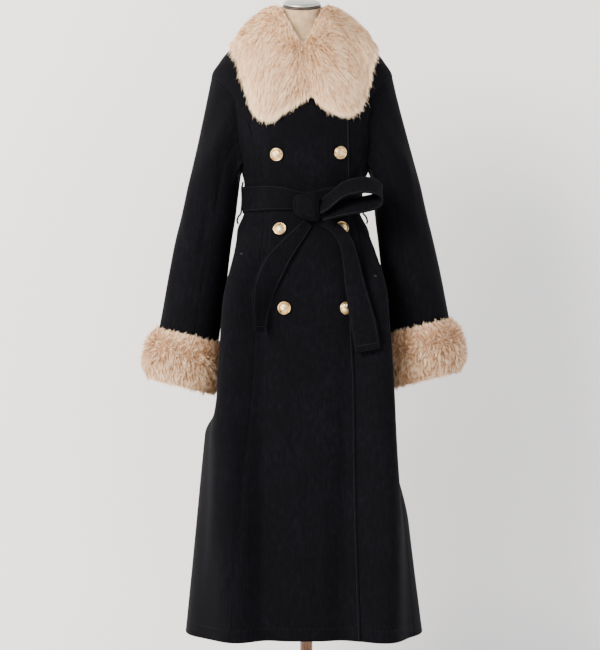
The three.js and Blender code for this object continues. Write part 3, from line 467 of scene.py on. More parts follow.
# %% Wool melton
melton, tree, shader = new_material(
    "wool_melton_brushed", Roughness=0.86, Specular_IOR_Level=0.04, Sheen_Weight=0.012,
    Sheen_Roughness=0.42, Sheen_Tint=linear("#c9ccd8"))
coords = node(tree, "TexCoord").outputs["Object"]
nap_way = node(tree, "Mapping", Vector=coords, Scale=(1, 1, 0.35))
mottle = node(tree, "TexNoise", Vector=nap_way.outputs[0], Scale=1 / 0.005, Detail=4, Roughness=0.7)
cloud = node(tree, "TexNoise", Vector=coords, Scale=1 / 0.09, Detail=2)
both = node(tree, "Math", {"operation": "MULTIPLY_ADD"}, _0=cloud.outputs["Fac"], _1=0.35,
            _2=mottle.outputs["Fac"])
tint = node(tree, "ValToRGB", {"stops": [(0.40, "#050507"), (0.68, "#07070a"), (0.95, "#0e0e13")]},
            Fac=both.outputs[0])
wire(tree, shader, Base_Color=tint.outputs[0])
fibre = node(tree, "TexNoise", Vector=nap_way.outputs[0], Scale=1 / 0.0012, Detail=3, Roughness=0.8)
grain = node(tree, "Math", {"operation": "MULTIPLY_ADD"}, _0=mottle.outputs["Fac"], _1=1.5,
             _2=fibre.outputs["Fac"])
raised = node(tree, "Bump", Height=grain.outputs[0], Strength=0.35, Distance=0.0006)
wire(tree, shader, Normal=raised.outputs[0])

# %% [markdown]
# ## Sewing thread
#
# The topstitching is spun polyester in the cloth's own colour. It shows only because a
# smooth thread is glossier than the nap round it.

# %% Thread
thread, tree, shader = new_material("spun_polyester_thread", Roughness=0.5, Specular_IOR_Level=0.3)
ply = node(tree, "TexNoise", Vector=node(tree, "TexCoord").outputs["Object"], Scale=1 / 0.001)
tint = node(tree, "ValToRGB", {"stops": [(0.3, "#08080b"), (0.7, "#15161b")]},
            Fac=ply.outputs["Fac"])
wire(tree, shader, Base_Color=tint.outputs[0])

# %% [markdown]
# ## The seams' lines
#
# A pattern cutter draws each seam on the front view: the princess seams that shape the
# waist, the overlap's edge and the armholes. Seam points are kept as an angle and a height
# on the body surface, so two panels that share a seam share its points too.

# %% Seam lines
UNDERLAP_X, SIDE_SEAM_BACK = -60, 10
LEVELS = np.array([180, 265, 350, 435, 520, 600, 675, 745, 820, 890, 945, 983, 1012, 1034, 1050,
                   1077, 1104, 1140, 1147, 1163, 1196, 1236, 1276], float)
RIGHT_PRINCESS = columns("z x", [
    (180, -135), (441, -118), (704, -99), (853, -93), (969, -83), (1037, -80), (1105, -94),
    (1138, -96), (1189, -99), (1221, -107), (1253, -120), (1276, -139)])
LEFT_PRINCESS = columns("z x", [
    (180, 228), (441, 205), (704, 166), (853, 145), (969, 128), (1037, 113), (1105, 112),
    (1138, 116), (1189, 120), (1221, 125), (1253, 131), (1276, 139)])
FRONT_EDGE = columns("z x", [(180, 117), (460, 110), (700, 107), (850, 100), (1270, 96)])
BACK_PRINCESS = columns("z x", [
    (180, 122), (441, 106), (704, 90), (853, 80), (969, 72), (1037, 62), (1105, 64), (1138, 72),
    (1189, 86), (1221, 100), (1253, 124), (1276, 146)])
ARMHOLE = columns("z front back", [
    (1140, 138, 138), (1147, 129, 130), (1158, 130, 131), (1176, 133, 135), (1202, 136, 142),
    (1238, 138, 144), (1276, 141, 148), (1290, 147, 153), (1306, 161, 163), (1322, 176, 176),
    (1335, 190, 190)])
UPPER_LEVELS = np.append(LEVELS[LEVELS >= UNDERARM_Z], [1290, 1306, 1322, SHOULDER_Z])
SHOULDER_LEVELS = np.array([SHOULDER_Z, 1364, 1390, 1414, NECK_SIDE_Z], float)


def princess(side, face, z):
    """The angle of a princess seam at height z. Side is -1 on the wearer's right, face -1 in
    front; the back's seam is the mirror image of a front one, so its angle changes sign."""
    if face < 0:
        return front_angle(read(RIGHT_PRINCESS if side < 0 else LEFT_PRINCESS, z, "x"), z)
    return -front_angle(side * read(BACK_PRINCESS, z, "x"), z)


def side_seam(side, face):
    """The side seam's angle, a little behind the widest point."""
    if side > 0:
        return float(SIDE_SEAM_BACK)
    return float(face * (180 - SIDE_SEAM_BACK) if face > 0 else -180 - SIDE_SEAM_BACK)


def armhole(side, face):
    """The armhole's angles at the upper levels, from the underarm to the shoulder point."""
    z = UPPER_LEVELS
    width = read(ARMHOLE, z, "back" if face > 0 else "front")
    angle = -face * front_angle(side * width + read(SECTIONS, z, "shift"), z)
    angle[0] = side_seam(side, face)
    angle[-1] = 0.0 if side > 0 else face * 180.0
    return angle


def nudge(angle, z, distance):
    """Moves a seam point along its section by a distance in millimetres."""
    reach = np.linalg.norm(folded(angle + 0.5, z) - folded(angle - 0.5, z), axis=-1)
    return angle + distance / reach


def shoulder_edge(side, face):
    """The shoulder seam's points, from the shoulder point to the side of the neck."""
    z = SHOULDER_LEVELS
    angle = np.full(z.shape, 0.0 if side > 0 else face * 180.0)
    return np.stack([nudge(angle, z, side * face * GAP / 2), z], -1)


# %% [markdown]
# ## Rows and columns of a panel
#
# Rows lie about 9 mm apart, and closer at the hem, where a blind row of stitches holds the
# turned-up edge and draws a faint line. Columns crowd towards the seams, because that is
# where the cloth dips.

# %% Rows and columns
HEM_STITCH_Z = 205
FINE_LOWER = np.concatenate([
    [180, 180.8, 182.5, 186, 193, 200, 202.8, HEM_STITCH_Z, 207.2, 210, 217],
    np.linspace(226, 1040, 88), np.linspace(1048, UNDERARM_Z, 13)])
UPPER_STATION = np.linspace(0, 9, 46)
BODY_STATION = UPPER_STATION[UPPER_STATION <= 5]


def crowded(count, width=1.0):
    """Numbers from 0 to count that crowd towards both ends."""
    inner = np.linspace(0.5, count - 0.5, int(round(count * 3 * width)))
    return np.concatenate([[0, 0.05, 0.13, 0.26], inner, count - np.array([0.26, 0.13, 0.05, 0])])


def between(stops, places, at):
    """Angles of a row read at column numbers, straight between the stops."""
    out = np.empty((len(stops[0]), len(at)))
    for start, end, a, b in zip(places[:-1], places[1:], stops[:-1], stops[1:]):
        inside = (at >= start) & (at <= end)
        t = (at[inside] - start) / (end - start)
        out[:, inside] = a[:, None] * (1 - t) + b[:, None] * t
    return out


def patch(bottom, top, left, right, shares):
    """A Coons patch of (angle, z): the blend of its side borders plus the blend of its ends,
    less the blend of its four corners. Rows rise with the right border's height."""
    s = shares[None, :, None]
    t = ((right[:, 1] - right[0, 1]) / (right[-1, 1] - right[0, 1]))[:, None, None]
    low, high = bottom[0] * (1 - s) + bottom[-1] * s, top[0] * (1 - s) + top[-1] * s
    ends = bottom[None] * (1 - t) + top[None] * t
    sides = left[:, None] * (1 - s) + right[:, None] * s
    return ends + sides - (low * (1 - t) + high * t)


def panel_grid(stops, places, at, top, left, right):
    """A panel's (angle, z): straight rows up to the underarm, then a patch up to its top."""
    angles = between(stops, places, at)
    low = np.stack([angles, np.broadcast_to(FINE_LOWER[:, None], angles.shape)], -1)
    upper = patch(low[-1], top, left, right, at / places[-1])
    return np.concatenate([low, upper[1:]])


def edge_dip(points):
    """How far each point sinks beside a panel's edges: 0.9 mm at the edge, gone 3 mm in."""
    across = np.linalg.norm(np.diff(points, axis=1), axis=-1)
    run = np.concatenate([np.zeros((len(points), 1)), np.cumsum(across, 1)], 1)
    nearest = np.minimum(run, run[:, -1:] - run)
    return 0.9 * np.exp(-(nearest / 1.7)**2)


def dressed(name, grid, lift=0.0):
    """A panel's piece and outer face: the body surface with creases, thinned at its seams."""
    angle, z = grid[..., 0], grid[..., 1]
    flat = coat(angle, z, lift)
    normals = coat_normal(angle, z)
    dip = edge_dip(flat)
    high = relief(flat, normals) - dip
    high = high - 0.45 * np.exp(-((z - HEM_STITCH_Z) / 1.6)**2)
    outer = flat + normals * high[..., None]
    inner = flat + normals * (high - WALL + 1.3 * dip)[..., None]
    mesh = mesh_of(name, np.stack([outer, inner]), wall_faces(*z.shape))
    piece = put(f"{name}_cloth", mesh, melton, name)
    declare_cloth(piece, outer)
    print(name, [round(v) for v in lengths(outer)], "mm")
    return outer


# %% [markdown]
# ## Fronts
#
# The wearer's right front laps over the left and carries all six buttons. Both come from
# one grid of columns, so the two layers of the lap lie on the same lines; the upper one
# rises by its own thickness over the last columns before the lap.

# %% Fronts
LAP_START, LAP_END, FRONT_COLUMNS = 8, 14, 22
NECKLINE = np.array([
    (-72, 1427), (-78, 1402), (-80, 1350), (UNDERLAP_X, 1262), (-44, 1268), (-22, 1282),
    (2, 1294), (26, 1296), (58, 1288), (96, 1280), (96, 1350), (80, 1402), (72, 1427)], float)


def seam_up(side, face, shift):
    """A panel's border above the underarm: the princess seam, then the armhole, nudged."""
    angles = armhole(side, face)
    low = UPPER_LEVELS <= SEAM_TOP_Z
    angles[low] = princess(side, face, UPPER_LEVELS[low])
    return through(np.stack([nudge(angles, UPPER_LEVELS, shift), UPPER_LEVELS], -1), UPPER_STATION)


def lower_front(z):
    """The four stops of a row: princess seam, underlap's edge, overlap's edge, princess seam."""
    return [nudge(princess(-1, -1, z), z, GAP / 2), front_angle(UNDERLAP_X, z),
            front_angle(read(FRONT_EDGE, z, "x"), z), nudge(princess(1, -1, z), z, -GAP / 2)]


front_columns = np.unique(np.concatenate([
    crowded(LAP_START), LAP_START + crowded(LAP_END - LAP_START), LAP_END + crowded(8)]))
neck_stations = np.concatenate([
    shoulder_edge(-1, -1), np.stack([front_angle(*NECKLINE.T), NECKLINE[:, 1]], -1),
    shoulder_edge(1, -1)[::-1]])
front_grid = panel_grid(
    lower_front(FINE_LOWER), (0, LAP_START, LAP_END, FRONT_COLUMNS), front_columns,
    through(neck_stations, front_columns), seam_up(-1, -1, GAP / 2), seam_up(1, -1, -GAP / 2))
lap_lift = OVERLAP_LIFT * smooth((front_columns - LAP_START + 4) / 3)
over, under = front_columns <= LAP_END, front_columns >= LAP_START
right_face = dressed("front_right", front_grid[:, over], lap_lift[over])
left_face = dressed("front_left", front_grid[:, under])

# %% [markdown]
# ## Side panels and back
#
# Each side panel runs from a princess seam to the side seam and narrows along the armhole.
# The back is one panel between its princess seams, up to the shoulders and the neck.

# %% Side panels
SIDE_COLUMNS = 5
side_columns = crowded(SIDE_COLUMNS, 1.2)
side_faces = {}
for side, hand in ((-1, "right"), (1, "left")):
    for face, where in ((-1, "front"), (1, "back")):
        toward = side * -face
        hole = through(np.stack([armhole(side, face), UPPER_LEVELS], -1), BODY_STATION)
        z = np.concatenate([FINE_LOWER, hole[1:, 1]])
        edge = np.full(FINE_LOWER.shape, side_seam(side, face))
        outer_edge = np.concatenate([nudge(edge, FINE_LOWER, -toward * GAP / 2), hole[1:, 0]])
        inner_edge = nudge(princess(side, face, z), z, toward * GAP / 2)
        angles = between([inner_edge, outer_edge], (0, SIDE_COLUMNS), side_columns)
        name = f"side_{where}_{hand}"
        grid = np.stack([angles, np.broadcast_to(z[:, None], angles.shape)], -1)
        side_faces[name] = dressed(name, grid)

# %% Back
BACK_COLUMNS = 14
back_columns = crowded(BACK_COLUMNS)
ends = [nudge(princess(1, 1, FINE_LOWER), FINE_LOWER, GAP / 2),
        nudge(princess(-1, 1, FINE_LOWER), FINE_LOWER, -GAP / 2)]
neck_back = [(angle, NECK_SIDE_Z) for angle in (30, 60, 90, 120, 150)]
top = through(np.concatenate([shoulder_edge(1, 1), neck_back, shoulder_edge(-1, 1)[::-1]]),
              back_columns)
back_grid = panel_grid(ends, (0, BACK_COLUMNS), back_columns, top,
                       seam_up(1, 1, GAP / 2), seam_up(-1, 1, -GAP / 2))
back_face = dressed("back", back_grid)

# %% [markdown]
# ## Seam allowances
#
# Behind each seam the two allowances are pressed open. They lie flat on the wall's inside,
# so a strip along the seam stands for both, and no light comes through the joint.

# %% Seam allowances
ALLOWANCE = 7


def allowance(name, angle, z, loop=False):
    """A strip behind a seam: the line's tangent crossed with the coat's normal is its width."""
    line, out = coat(angle, z, -WALL - 0.6), coat_normal(angle, z)
    if loop:
        run = np.roll(line, -1, 0) - np.roll(line, 1, 0)
    else:
        run = np.gradient(line, axis=0)
    across = unit(np.cross(run, out))[:, None] * np.array([-ALLOWANCE, 0, ALLOWANCE])[:, None]
    face = line[:, None] + across
    both = np.stack([face, face - 0.7 * out[:, None]])
    mesh = mesh_of(name, both, wall_faces(len(line), 3, loop))
    declare_cloth(put(name, mesh, melton), face, loop)


for side, hand in ((-1, "right"), (1, "left")):
    seam_z = np.linspace(HEM_Z + 3, SEAM_TOP_Z - 3, 160)
    allowance(f"allowance_front_{hand}", princess(side, -1, seam_z), seam_z)
    allowance(f"allowance_back_{hand}", princess(side, 1, seam_z), seam_z)
    seam_z = np.linspace(HEM_Z + 3, UNDERARM_Z - 3, 160)
    allowance(f"allowance_side_{hand}", side_seam(side, -1) + 0 * seam_z, seam_z)

# %% [markdown]
# ## Sleeves
#
# A two-piece sleeve hangs from its armhole as a bent tube. The rings of the tube run down
# to the cuff; above the highest ring, curves leave the armhole outward, go over the sleeve
# head and come down into the ring. Each sleeve is cut along two lines into an upper and an
# under piece, as it is sewn.

# %% Sleeve form
SLEEVE_RIGHT = columns("z inner outer deep y", [
    (690, -190, -322, 64, 14), (808, -174, -298, 62, 12), (917, -158, -279, 62, 9),
    (994, -148, -265, 62, 7), (1040, -140, -254, 63, 5), (1095, -133, -242, 65, 3)])
SLEEVE_LEFT = columns("z inner outer deep y", [
    (690, 202, 334, 64, 14), (808, 184, 311, 62, 12), (917, 169, 291, 62, 9),
    (994, 160, 275, 62, 7), (1040, 154, 264, 63, 5), (1095, 149, 252, 65, 3)])
CUFF_LOW, CUFF_HIGH = {-1: 690, 1: 705}, {-1: 793, 1: 812}
SLEEVE_END, SLEEVE_TOP, CUFF_TILT, SLEEVE_SQUARE = 4, 1095, 14, 2.2
SLEEVE_RUN = SLEEVE_TOP - CUFF_LOW[-1] - SLEEVE_END
SLEEVE_HEIGHTS = np.concatenate([[0, 2, 5], np.linspace(9, SLEEVE_RUN, 50)]) / SLEEVE_RUN
CAP_SHARES = np.linspace(0, 1, 22)[1:]
STATIONS, FINE_PER_STATION = 18, 6
FRONT_SEAM, BACK_SEAM = 3, 14


def sleeve_ring(side, around, z, lift=0.0):
    """A superellipse ring, tilted to the cuff. Around is 0 inside, 0.25 in front, 0.5 outside."""
    table = SLEEVE_RIGHT if side < 0 else SLEEVE_LEFT
    around, z, lift = np.broadcast_arrays(*(np.asarray(v, float) for v in (around, z, lift)))
    inner, outer = read(table, z, "inner"), read(table, z, "outer")
    half, deep = np.abs(outer - inner) / 2 + lift, read(table, z, "deep") + lift
    c, s = np.cos(around * 2 * np.pi), np.sin(around * 2 * np.pi)
    n = SLEEVE_SQUARE
    radius = (np.abs(c / half)**n + np.abs(s / deep)**n)**(-1 / n)
    out = -radius * c
    tilt = CUFF_TILT * smooth((SLEEVE_TOP - z) / (SLEEVE_TOP - 800))
    return np.stack([(inner + outer) / 2 + side * out, read(table, z, "y") - radius * s,
                     z + out * np.tan(np.radians(tilt))], -1)


def armhole_loop(side):
    """Angles and heights round the armhole: up the front, over the shoulder, down the back."""
    front, rear = armhole(side, -1), armhole(side, 1)
    angles = np.concatenate([rear[:1], front[1:], rear[1:-1][::-1]])
    heights = np.concatenate([UPPER_LEVELS, UPPER_LEVELS[1:-1][::-1]])
    loop = np.stack([np.unwrap(angles, period=360), heights], -1)
    at = np.arange(STATIONS * FINE_PER_STATION) / FINE_PER_STATION
    return through(loop, at, loop=True)


def sleeve_surface(side):
    """Rings from the hem up, then cap rows: cubics from the armhole's points to the top ring,
    which leave outward by the shoulder's rise and arrive along the rings."""
    angle, z = armhole_loop(side).T
    start = coat(angle, z)
    step = np.linalg.norm(np.roll(start, -1, 0) - start, axis=1)
    share = (np.cumsum(step) - step) / step.sum()
    end_z = CUFF_LOW[side] + SLEEVE_END
    rings = sleeve_ring(side, share, end_z + (SLEEVE_TOP - end_z) * SLEEVE_HEIGHTS[:, None])
    rise = np.clip((z - UNDERARM_Z) / (SHOULDER_Z - UNDERARM_Z), 0, 1)
    flat = smooth(rise / 0.2)
    start = coat(angle, z, 0.8 * (1 - flat)) + (1 - flat)[:, None] * [side * 0.5, 0, 1.2]
    end, below = sleeve_ring(side, share, SLEEVE_TOP), sleeve_ring(side, share, SLEEVE_TOP - 10)
    swell = 14 + 62 * np.sin(np.pi * rise)**2 + 26 * rise
    leave = np.stack([side * swell, 0 * rise, 8 - 190 * smooth(rise) - 20 * rise], -1)
    drop = np.linalg.norm(end - start, axis=1, keepdims=True)
    arrive = -0.9 * drop * unit(end - below)
    cap = cubic(start, end, leave, arrive, 1 - CAP_SHARES[:, None, None])
    return np.concatenate([rings, cap])


def ring_normals(rings):
    """A normal at each point of closed rings: the way round crossed with the way up."""
    wide = np.concatenate([rings[:, -1:], rings, rings[:, :1]], 1)
    return unit(np.cross(wide[:, 2:] - wide[:, :-2], np.gradient(rings, axis=0)))


# %% Sleeves
sleeve_faces = {}
for side, hand in ((-1, "right"), (1, "left")):
    ring_grid = sleeve_surface(side)
    normals = ring_normals(ring_grid)
    middle = ring_grid.mean(1, keepdims=True)
    normals = normals * np.sign((normals * (ring_grid - middle)).sum((1, 2)).mean())
    ring_grid = ring_grid + normals * relief(ring_grid, normals)[..., None]
    count = STATIONS * FINE_PER_STATION
    cuts = {"upper": np.arange(FRONT_SEAM * FINE_PER_STATION, BACK_SEAM * FINE_PER_STATION + 1),
            "under": np.arange(BACK_SEAM * FINE_PER_STATION,
                               count + FRONT_SEAM * FINE_PER_STATION + 1) % count}
    for part, stations in cuts.items():
        face, out = ring_grid[:, stations].copy(), normals[:, stations]
        face[:, 0] += 0.2 * unit(face[:, 1] - face[:, 0])
        face[:, -1] += 0.2 * unit(face[:, -2] - face[:, -1])
        dip = edge_dip(face)[..., None]
        outer, inner = face - out * dip, face - out * (WALL - 0.4 * dip)
        name = f"sleeve_{part}_{hand}"
        mesh = mesh_of(name, np.stack([outer, inner]), wall_faces(*face.shape[:2]))
        piece = put(f"{name}_cloth", mesh, melton, name)
        declare_cloth(piece, outer)
        sleeve_faces[name] = outer
    allowance(f"allowance_armhole_{hand}", *armhole_loop(side).T, loop=True)
print("sleeves", {name: round(lengths(grid)[1]) for name, grid in sleeve_faces.items()}, "mm long")

# %% [markdown]
# ## Belt
#
# The belt is a tube of melton, pressed flat and stitched along both edges. It is drawn in
# at the knot, so a few soft pleats run into it. The band is the waist section moved out,
# with the pleats as ripples that die away over 60 mm.

# %% Belt band
KNOT = {"x": 9, "y": -119.2, "z": 1058, "wide": 28, "deep": 15.8, "tall": 27}
BELT_SEAT, BELT_THICK = 0.8, 3.0
BELT_STATIONS = 300


def belt_rows(share, across, lift):
    """Points of the band at a share round the waist and a share up its width."""
    angle = -360 * share
    at = section(angle, BELT_HIGH)
    front = at[..., 1] < 0
    near_knot = np.where(front, np.abs(at[..., 0] - KNOT["x"]), 200)
    pinch = np.exp(-(near_knot / 42)**2) * front
    lap = smooth((at[..., 0] + 96) / 30) * (1 - smooth((at[..., 0] - 106) / 8)) * front
    low, high = BELT_LOW + pinch, BELT_HIGH + 1 - 15 * pinch
    z = low + (high - low) * across
    side = np.sign(at[..., 0] - KNOT["x"])
    pleat = np.sin(across * 15 + side * 1.2) * np.exp(-(near_knot / 52)**2) * 0.9
    roll = 0.35 * np.sin(across * 3 + share * 41) + 0.25 * np.sin(share * 67 + 2 * across)
    inside = smooth(across / 0.15) * smooth((1 - across) / 0.15)
    rise = BELT_SEAT + OVERLAP_LIFT * lap + lift + (pleat + roll + 0.4) * inside * (lift > 0)
    return coat(angle, z, rise)


def soft_strip(outer, inner, loop=False):
    """A strip's mesh parts with both long edges rolled: the faces draw together there."""
    middle = (outer + inner) / 2
    pull = np.zeros(outer.shape[1])
    pull[[0, -1]], pull[[1, -2]] = 0.75, 0.25
    pull = pull[None, :, None]
    outer, inner = outer + (middle - outer) * pull, inner + (middle - inner) * pull
    return np.stack([outer, inner]), wall_faces(*outer.shape[:2], loop=loop), outer


BELT_ACROSS = np.array([0, 0.012, 0.04, 0.075, 0.11, 0.2, 0.3, 0.4, 0.5, 0.6, 0.7, 0.8, 0.89, 0.925,
                        0.96, 0.988, 1])
share = (np.arange(BELT_STATIONS) / BELT_STATIONS)[:, None]
stitched = 0.35 * (np.exp(-((BELT_ACROSS - 0.075) / 0.02)**2)
                   + np.exp(-((BELT_ACROSS - 0.925) / 0.02)**2))
points, faces, belt_face = soft_strip(belt_rows(share, BELT_ACROSS, BELT_THICK - stitched),
                                      belt_rows(share, BELT_ACROSS, 0.0), loop=True)
mesh = mesh_of("belt_band", points, faces)
belt = put("belt_band_cloth", mesh, melton, "belt_band")
declare_cloth(belt, belt_face, loop=True)
print("belt", round(1000 * CUTS["belt_band_cloth"][1]), "mm round")

# %% [markdown]
# ## Knot
#
# In the knot the belt goes over itself once: a wrapped block with square shoulders, whose
# front turn is one belt width folded to about 54 mm. Its pleats run along the wrap, and a
# crease marks where the lower end slips under.

# %% Knot
across = np.sin((np.linspace(0, 1, 56) - 0.5) * np.pi * 0.965)[:, None]
turn = np.linspace(0, 2 * np.pi, 72, endpoint=False)[None, :]
swell = np.sqrt(1 - across**2)**0.42
lower = np.clip(-np.sin(turn), 0, 1)


def squared(v):
    """Keeps the sign and lifts the size to the power 0.52, which squares a circle's corners."""
    return np.sign(v) * np.abs(v)**0.52


ripple = (0.9 * np.sin(5.2 * np.sin(turn) + 2.2 * across)
          + 0.6 * np.sin(9 * np.sin(turn) - 1.4 * across))
lip = -1.6 * np.exp(-((across + 0.80) / 0.07)**2) - 1.4 * np.exp(-((across - 0.78) / 0.06)**2)
front_share = np.sqrt(np.clip(-np.cos(turn), 0, 1))
deep = KNOT["deep"] * swell * squared(np.cos(turn)) * (1 + 0.04 * across)
deep = deep - (ripple * 0.5 + 0.5 + lip) * front_share
rows = np.stack([
    KNOT["x"] + (KNOT["wide"] - 0.8) * across + 0 * turn,
    KNOT["y"] + deep,
    KNOT["z"] + (KNOT["tall"] - 1.2 + 2 * across) * swell * squared(np.sin(turn))
    - 2 * across - lower * (2 + 6 * across)], -1)


def closed_ends(rows):
    """Rings of points with a middle point at both ends, and the faces of rings and fans."""
    count, around = rows.shape[:2]
    faces = quads(count, around, 0, loop_cols=True)
    first, last = count * around, count * around + 1
    c = np.arange(around)
    nxt = (c + 1) % around
    base = (count - 1) * around
    fans = [np.stack([np.full(around, first), nxt, c, c], -1),
            np.stack([np.full(around, last), base + c, base + nxt, base + nxt], -1)]
    points = np.concatenate([rows.reshape(-1, 3), rows[0].mean(0)[None], rows[-1].mean(0)[None]])
    return points, np.concatenate([faces, *fans])


mesh = mesh_of("belt_knot", *closed_ends(rows))
put("belt_knot_cloth", mesh, melton, "belt_knot")
print("knot", np.round(np.ptp(rows.reshape(-1, 3), axis=0)), "mm")

# %% [markdown]
# ## Bow and tails
#
# The bow is one loop of belt and the tails are its two ends. Each is a strip carried along
# a path: a row of points gives its middle line, and a vector its half width, turned where
# the strip stands on edge. A curve with a flat bevel would do, but its turn is hard to set.

# %% Bow
BOW_Y = -127
BOW_PATH = np.array([
    (37.6, 1056), (56, 1069), (82, 1090), (108, 1099), (134, 1101), (154, 1095),
    (163, 1082), (154, 1070), (130, 1062), (104, 1058), (74, 1052), (42, 1042)], float)
BOW_HALF, BOW_ROWS = np.array([0, -20.5, -18]), 110
STRIP_ACROSS = np.array([-1, -0.97, -0.91, -0.85, -0.79, -0.6, -0.3, 0, 0.3, 0.6, 0.79, 0.85, 0.91,
                         0.97, 1])


def distances(line):
    """How far along a line each of its points lies."""
    return np.concatenate([[0], np.cumsum(np.linalg.norm(np.diff(line, axis=0), axis=1))])


def at_distances(rows, run, at):
    """Rows that lie at the distances of run, read at other distances."""
    return np.stack([np.interp(at, run, column) for column in rows.T], -1)


def evenly(points, count):
    """The points resampled along a smooth line at equal distances."""
    fine = through(points, np.linspace(0, len(points) - 1, 600))
    run = distances(fine)
    return at_distances(fine, run, np.linspace(0, run[-1], count))


def strip_faces(centres, halves, curl):
    """Outer and inner grids of a strip: middle line + share x half width, then half the
    thickness each way along the normal, curled by a parabola across the width."""
    way = np.gradient(centres, axis=0)
    normal = unit(np.cross(way, halves))[:, None]
    s = STRIP_ACROSS[None, :, None]
    stitch = 0.3 * np.exp(-((np.abs(s) - 0.85) / 0.035)**2)
    middle = centres[:, None] + halves[:, None] * s + normal * (curl[:, None, None] * (s**2 - 0.4))
    half_thick = BELT_THICK / 2 - stitch
    return middle + normal * half_thick, middle - normal * half_thick


path = evenly(np.insert(BOW_PATH, 1, BOW_Y, axis=1), BOW_ROWS)
along = np.linspace(0, 1, BOW_ROWS)
wave = 0.8 * np.sin(along * 21) + 0.5 * np.sin(along * 47 + 1)
narrowed = 1 - 0.1 * np.exp(-(along / 0.06)**2) - 0.1 * np.exp(-((1 - along) / 0.06)**2)
bow_faces = strip_faces(path, BOW_HALF * narrowed[:, None], wave * 0.8)
points, faces, bow_face = soft_strip(*bow_faces)
bow = put("belt_bow_cloth", mesh_of("belt_bow", points, faces), melton, "belt_bow")
declare_cloth(bow, bow_face)
print("bow", [round(v) for v in lengths(bow_face)], "mm")

# %% Tails
TAIL_HALF = 27
TAIL_LEFT = np.array([
    (31, 1030.5, 0, 9, 0.34), (64, 1016, 0, 13, 0.9), (89, 984, 0, 12, 1), (99, 943, 2, 11, 1),
    (107, 898, 3, 12, 1), (117, 852, 3, 12, 1), (126, 806, 2, 8, 1), (133, 764, 0, 4, 1)], float)
TAIL_RIGHT = np.array([
    (12, 1024.8, 6, 7, 0.4), (-7, 1001, 8, 9, 0.9), (-36, 966, 34, 6, 1), (-57, 934, 62, 5, 1),
    (-74, 894, 70, 5, 1), (-82, 852, 68, 5, 1), (-85, 802, 64, 5, 1)], float)


def front_point(x, z, lift):
    """A point of the coat's front at x in the front view, moved out of its face."""
    return coat(angle_at(x, z, folded), z, lift)


def tail_line(rows, side, count=70):
    """The tail's middle line and half widths, each row clear of the skirt below it."""
    at = evenly(np.stack([rows[:, 0], 0 * rows[:, 0], rows[:, 1]], -1), count)
    turned = evenly(np.stack([rows[:, 2], rows[:, 3], 100 * rows[:, 4]], -1), count)
    way = unit(np.gradient(at, axis=0))
    tip = np.radians(turned[:, 0])
    half = np.stack([-way[:, 2] * side * np.cos(tip), -np.sin(tip),
                     way[:, 0] * side * np.cos(tip)], -1)
    half = half * (TAIL_HALF * turned[:, 2] / 100)[:, None]
    under = [front_point(at[:, 0] + t * half[:, 0], at[:, 2], OVERLAP_LIFT)[:, 1]
             for t in (-1, 0, 1)]
    at[:, 1] = np.min(under, 0) - turned[:, 1] + half[:, 1]
    return at, half


tail_edges = {}
for name, rows, side in (("belt_tail_left", TAIL_LEFT, 1), ("belt_tail_right", TAIL_RIGHT, -1)):
    centres, halves = tail_line(rows, side)
    share = np.linspace(0, 1, len(centres))
    curl = 0.5 * np.sin(share * 17) - side * (1.2 + 1.6 * share)
    outer, inner = strip_faces(centres, halves, curl * smooth(share / 0.2))
    points, faces, grid = soft_strip(outer, inner)
    piece = put(f"{name}_cloth", mesh_of(name, points, faces), melton, name)
    declare_cloth(piece, grid)
    tail_edges[name] = (outer, inner)
    print(name, [round(v) for v in lengths(grid)], "mm")

# %% Belt carriers
CARRIER_PATH = columns("z lift", [
    (1116, 2.6), (1109, 3.6), (1104, 5.2), (1077, 5.4), (1050, 6.5), (1040, 8.5),
    (1031, 7), (1027, 2.2)])
CARRIER_HALF_WIDTH, CARRIER_HALF_DEPTH, CARRIER_ROWS = 3.6, 1.9, 64
for angle, hand in ((-177, "right"), (-3, "left")):
    middle = coat(angle, CARRIER_PATH["z"], CARRIER_PATH["lift"])
    middle = through(middle, np.linspace(0, 7, CARRIER_ROWS))
    normal = unit(np.cross(np.gradient(middle, axis=0), [0, 1, 0]))[:, None]
    s = np.array([-1, -0.8, -0.4, 0, 0.4, 0.8, 1])[None, :, None]
    braid = 0.12 * np.sin(np.arange(CARRIER_ROWS) * 1.6)[:, None, None]
    centre = middle[:, None] + s * [0, CARRIER_HALF_WIDTH, 0]
    thick = (CARRIER_HALF_DEPTH - 0.8 * s**4 + braid * (1 - s**2)) * normal
    points, faces, _ = soft_strip(centre + thick, centre - thick)
    put(f"carrier_{hand}_cloth", mesh_of(f"carrier_{hand}", points, faces), thread,
        f"carrier_{hand}")

# %% [markdown]
# ## Stitches
#
# Topstitching holds the front edge and both edges of the belt, and a blind row holds the
# hem. A stitch is a short spindle of thread. Hundreds of them are one joined mesh, built as
# one array: a line's points at equal distances, each given the same sixteen triangles.

# %% Stitches
STITCH_LENGTH, STITCH_PITCH, THREAD_WIDE = 3.2, 4.2, 0.42


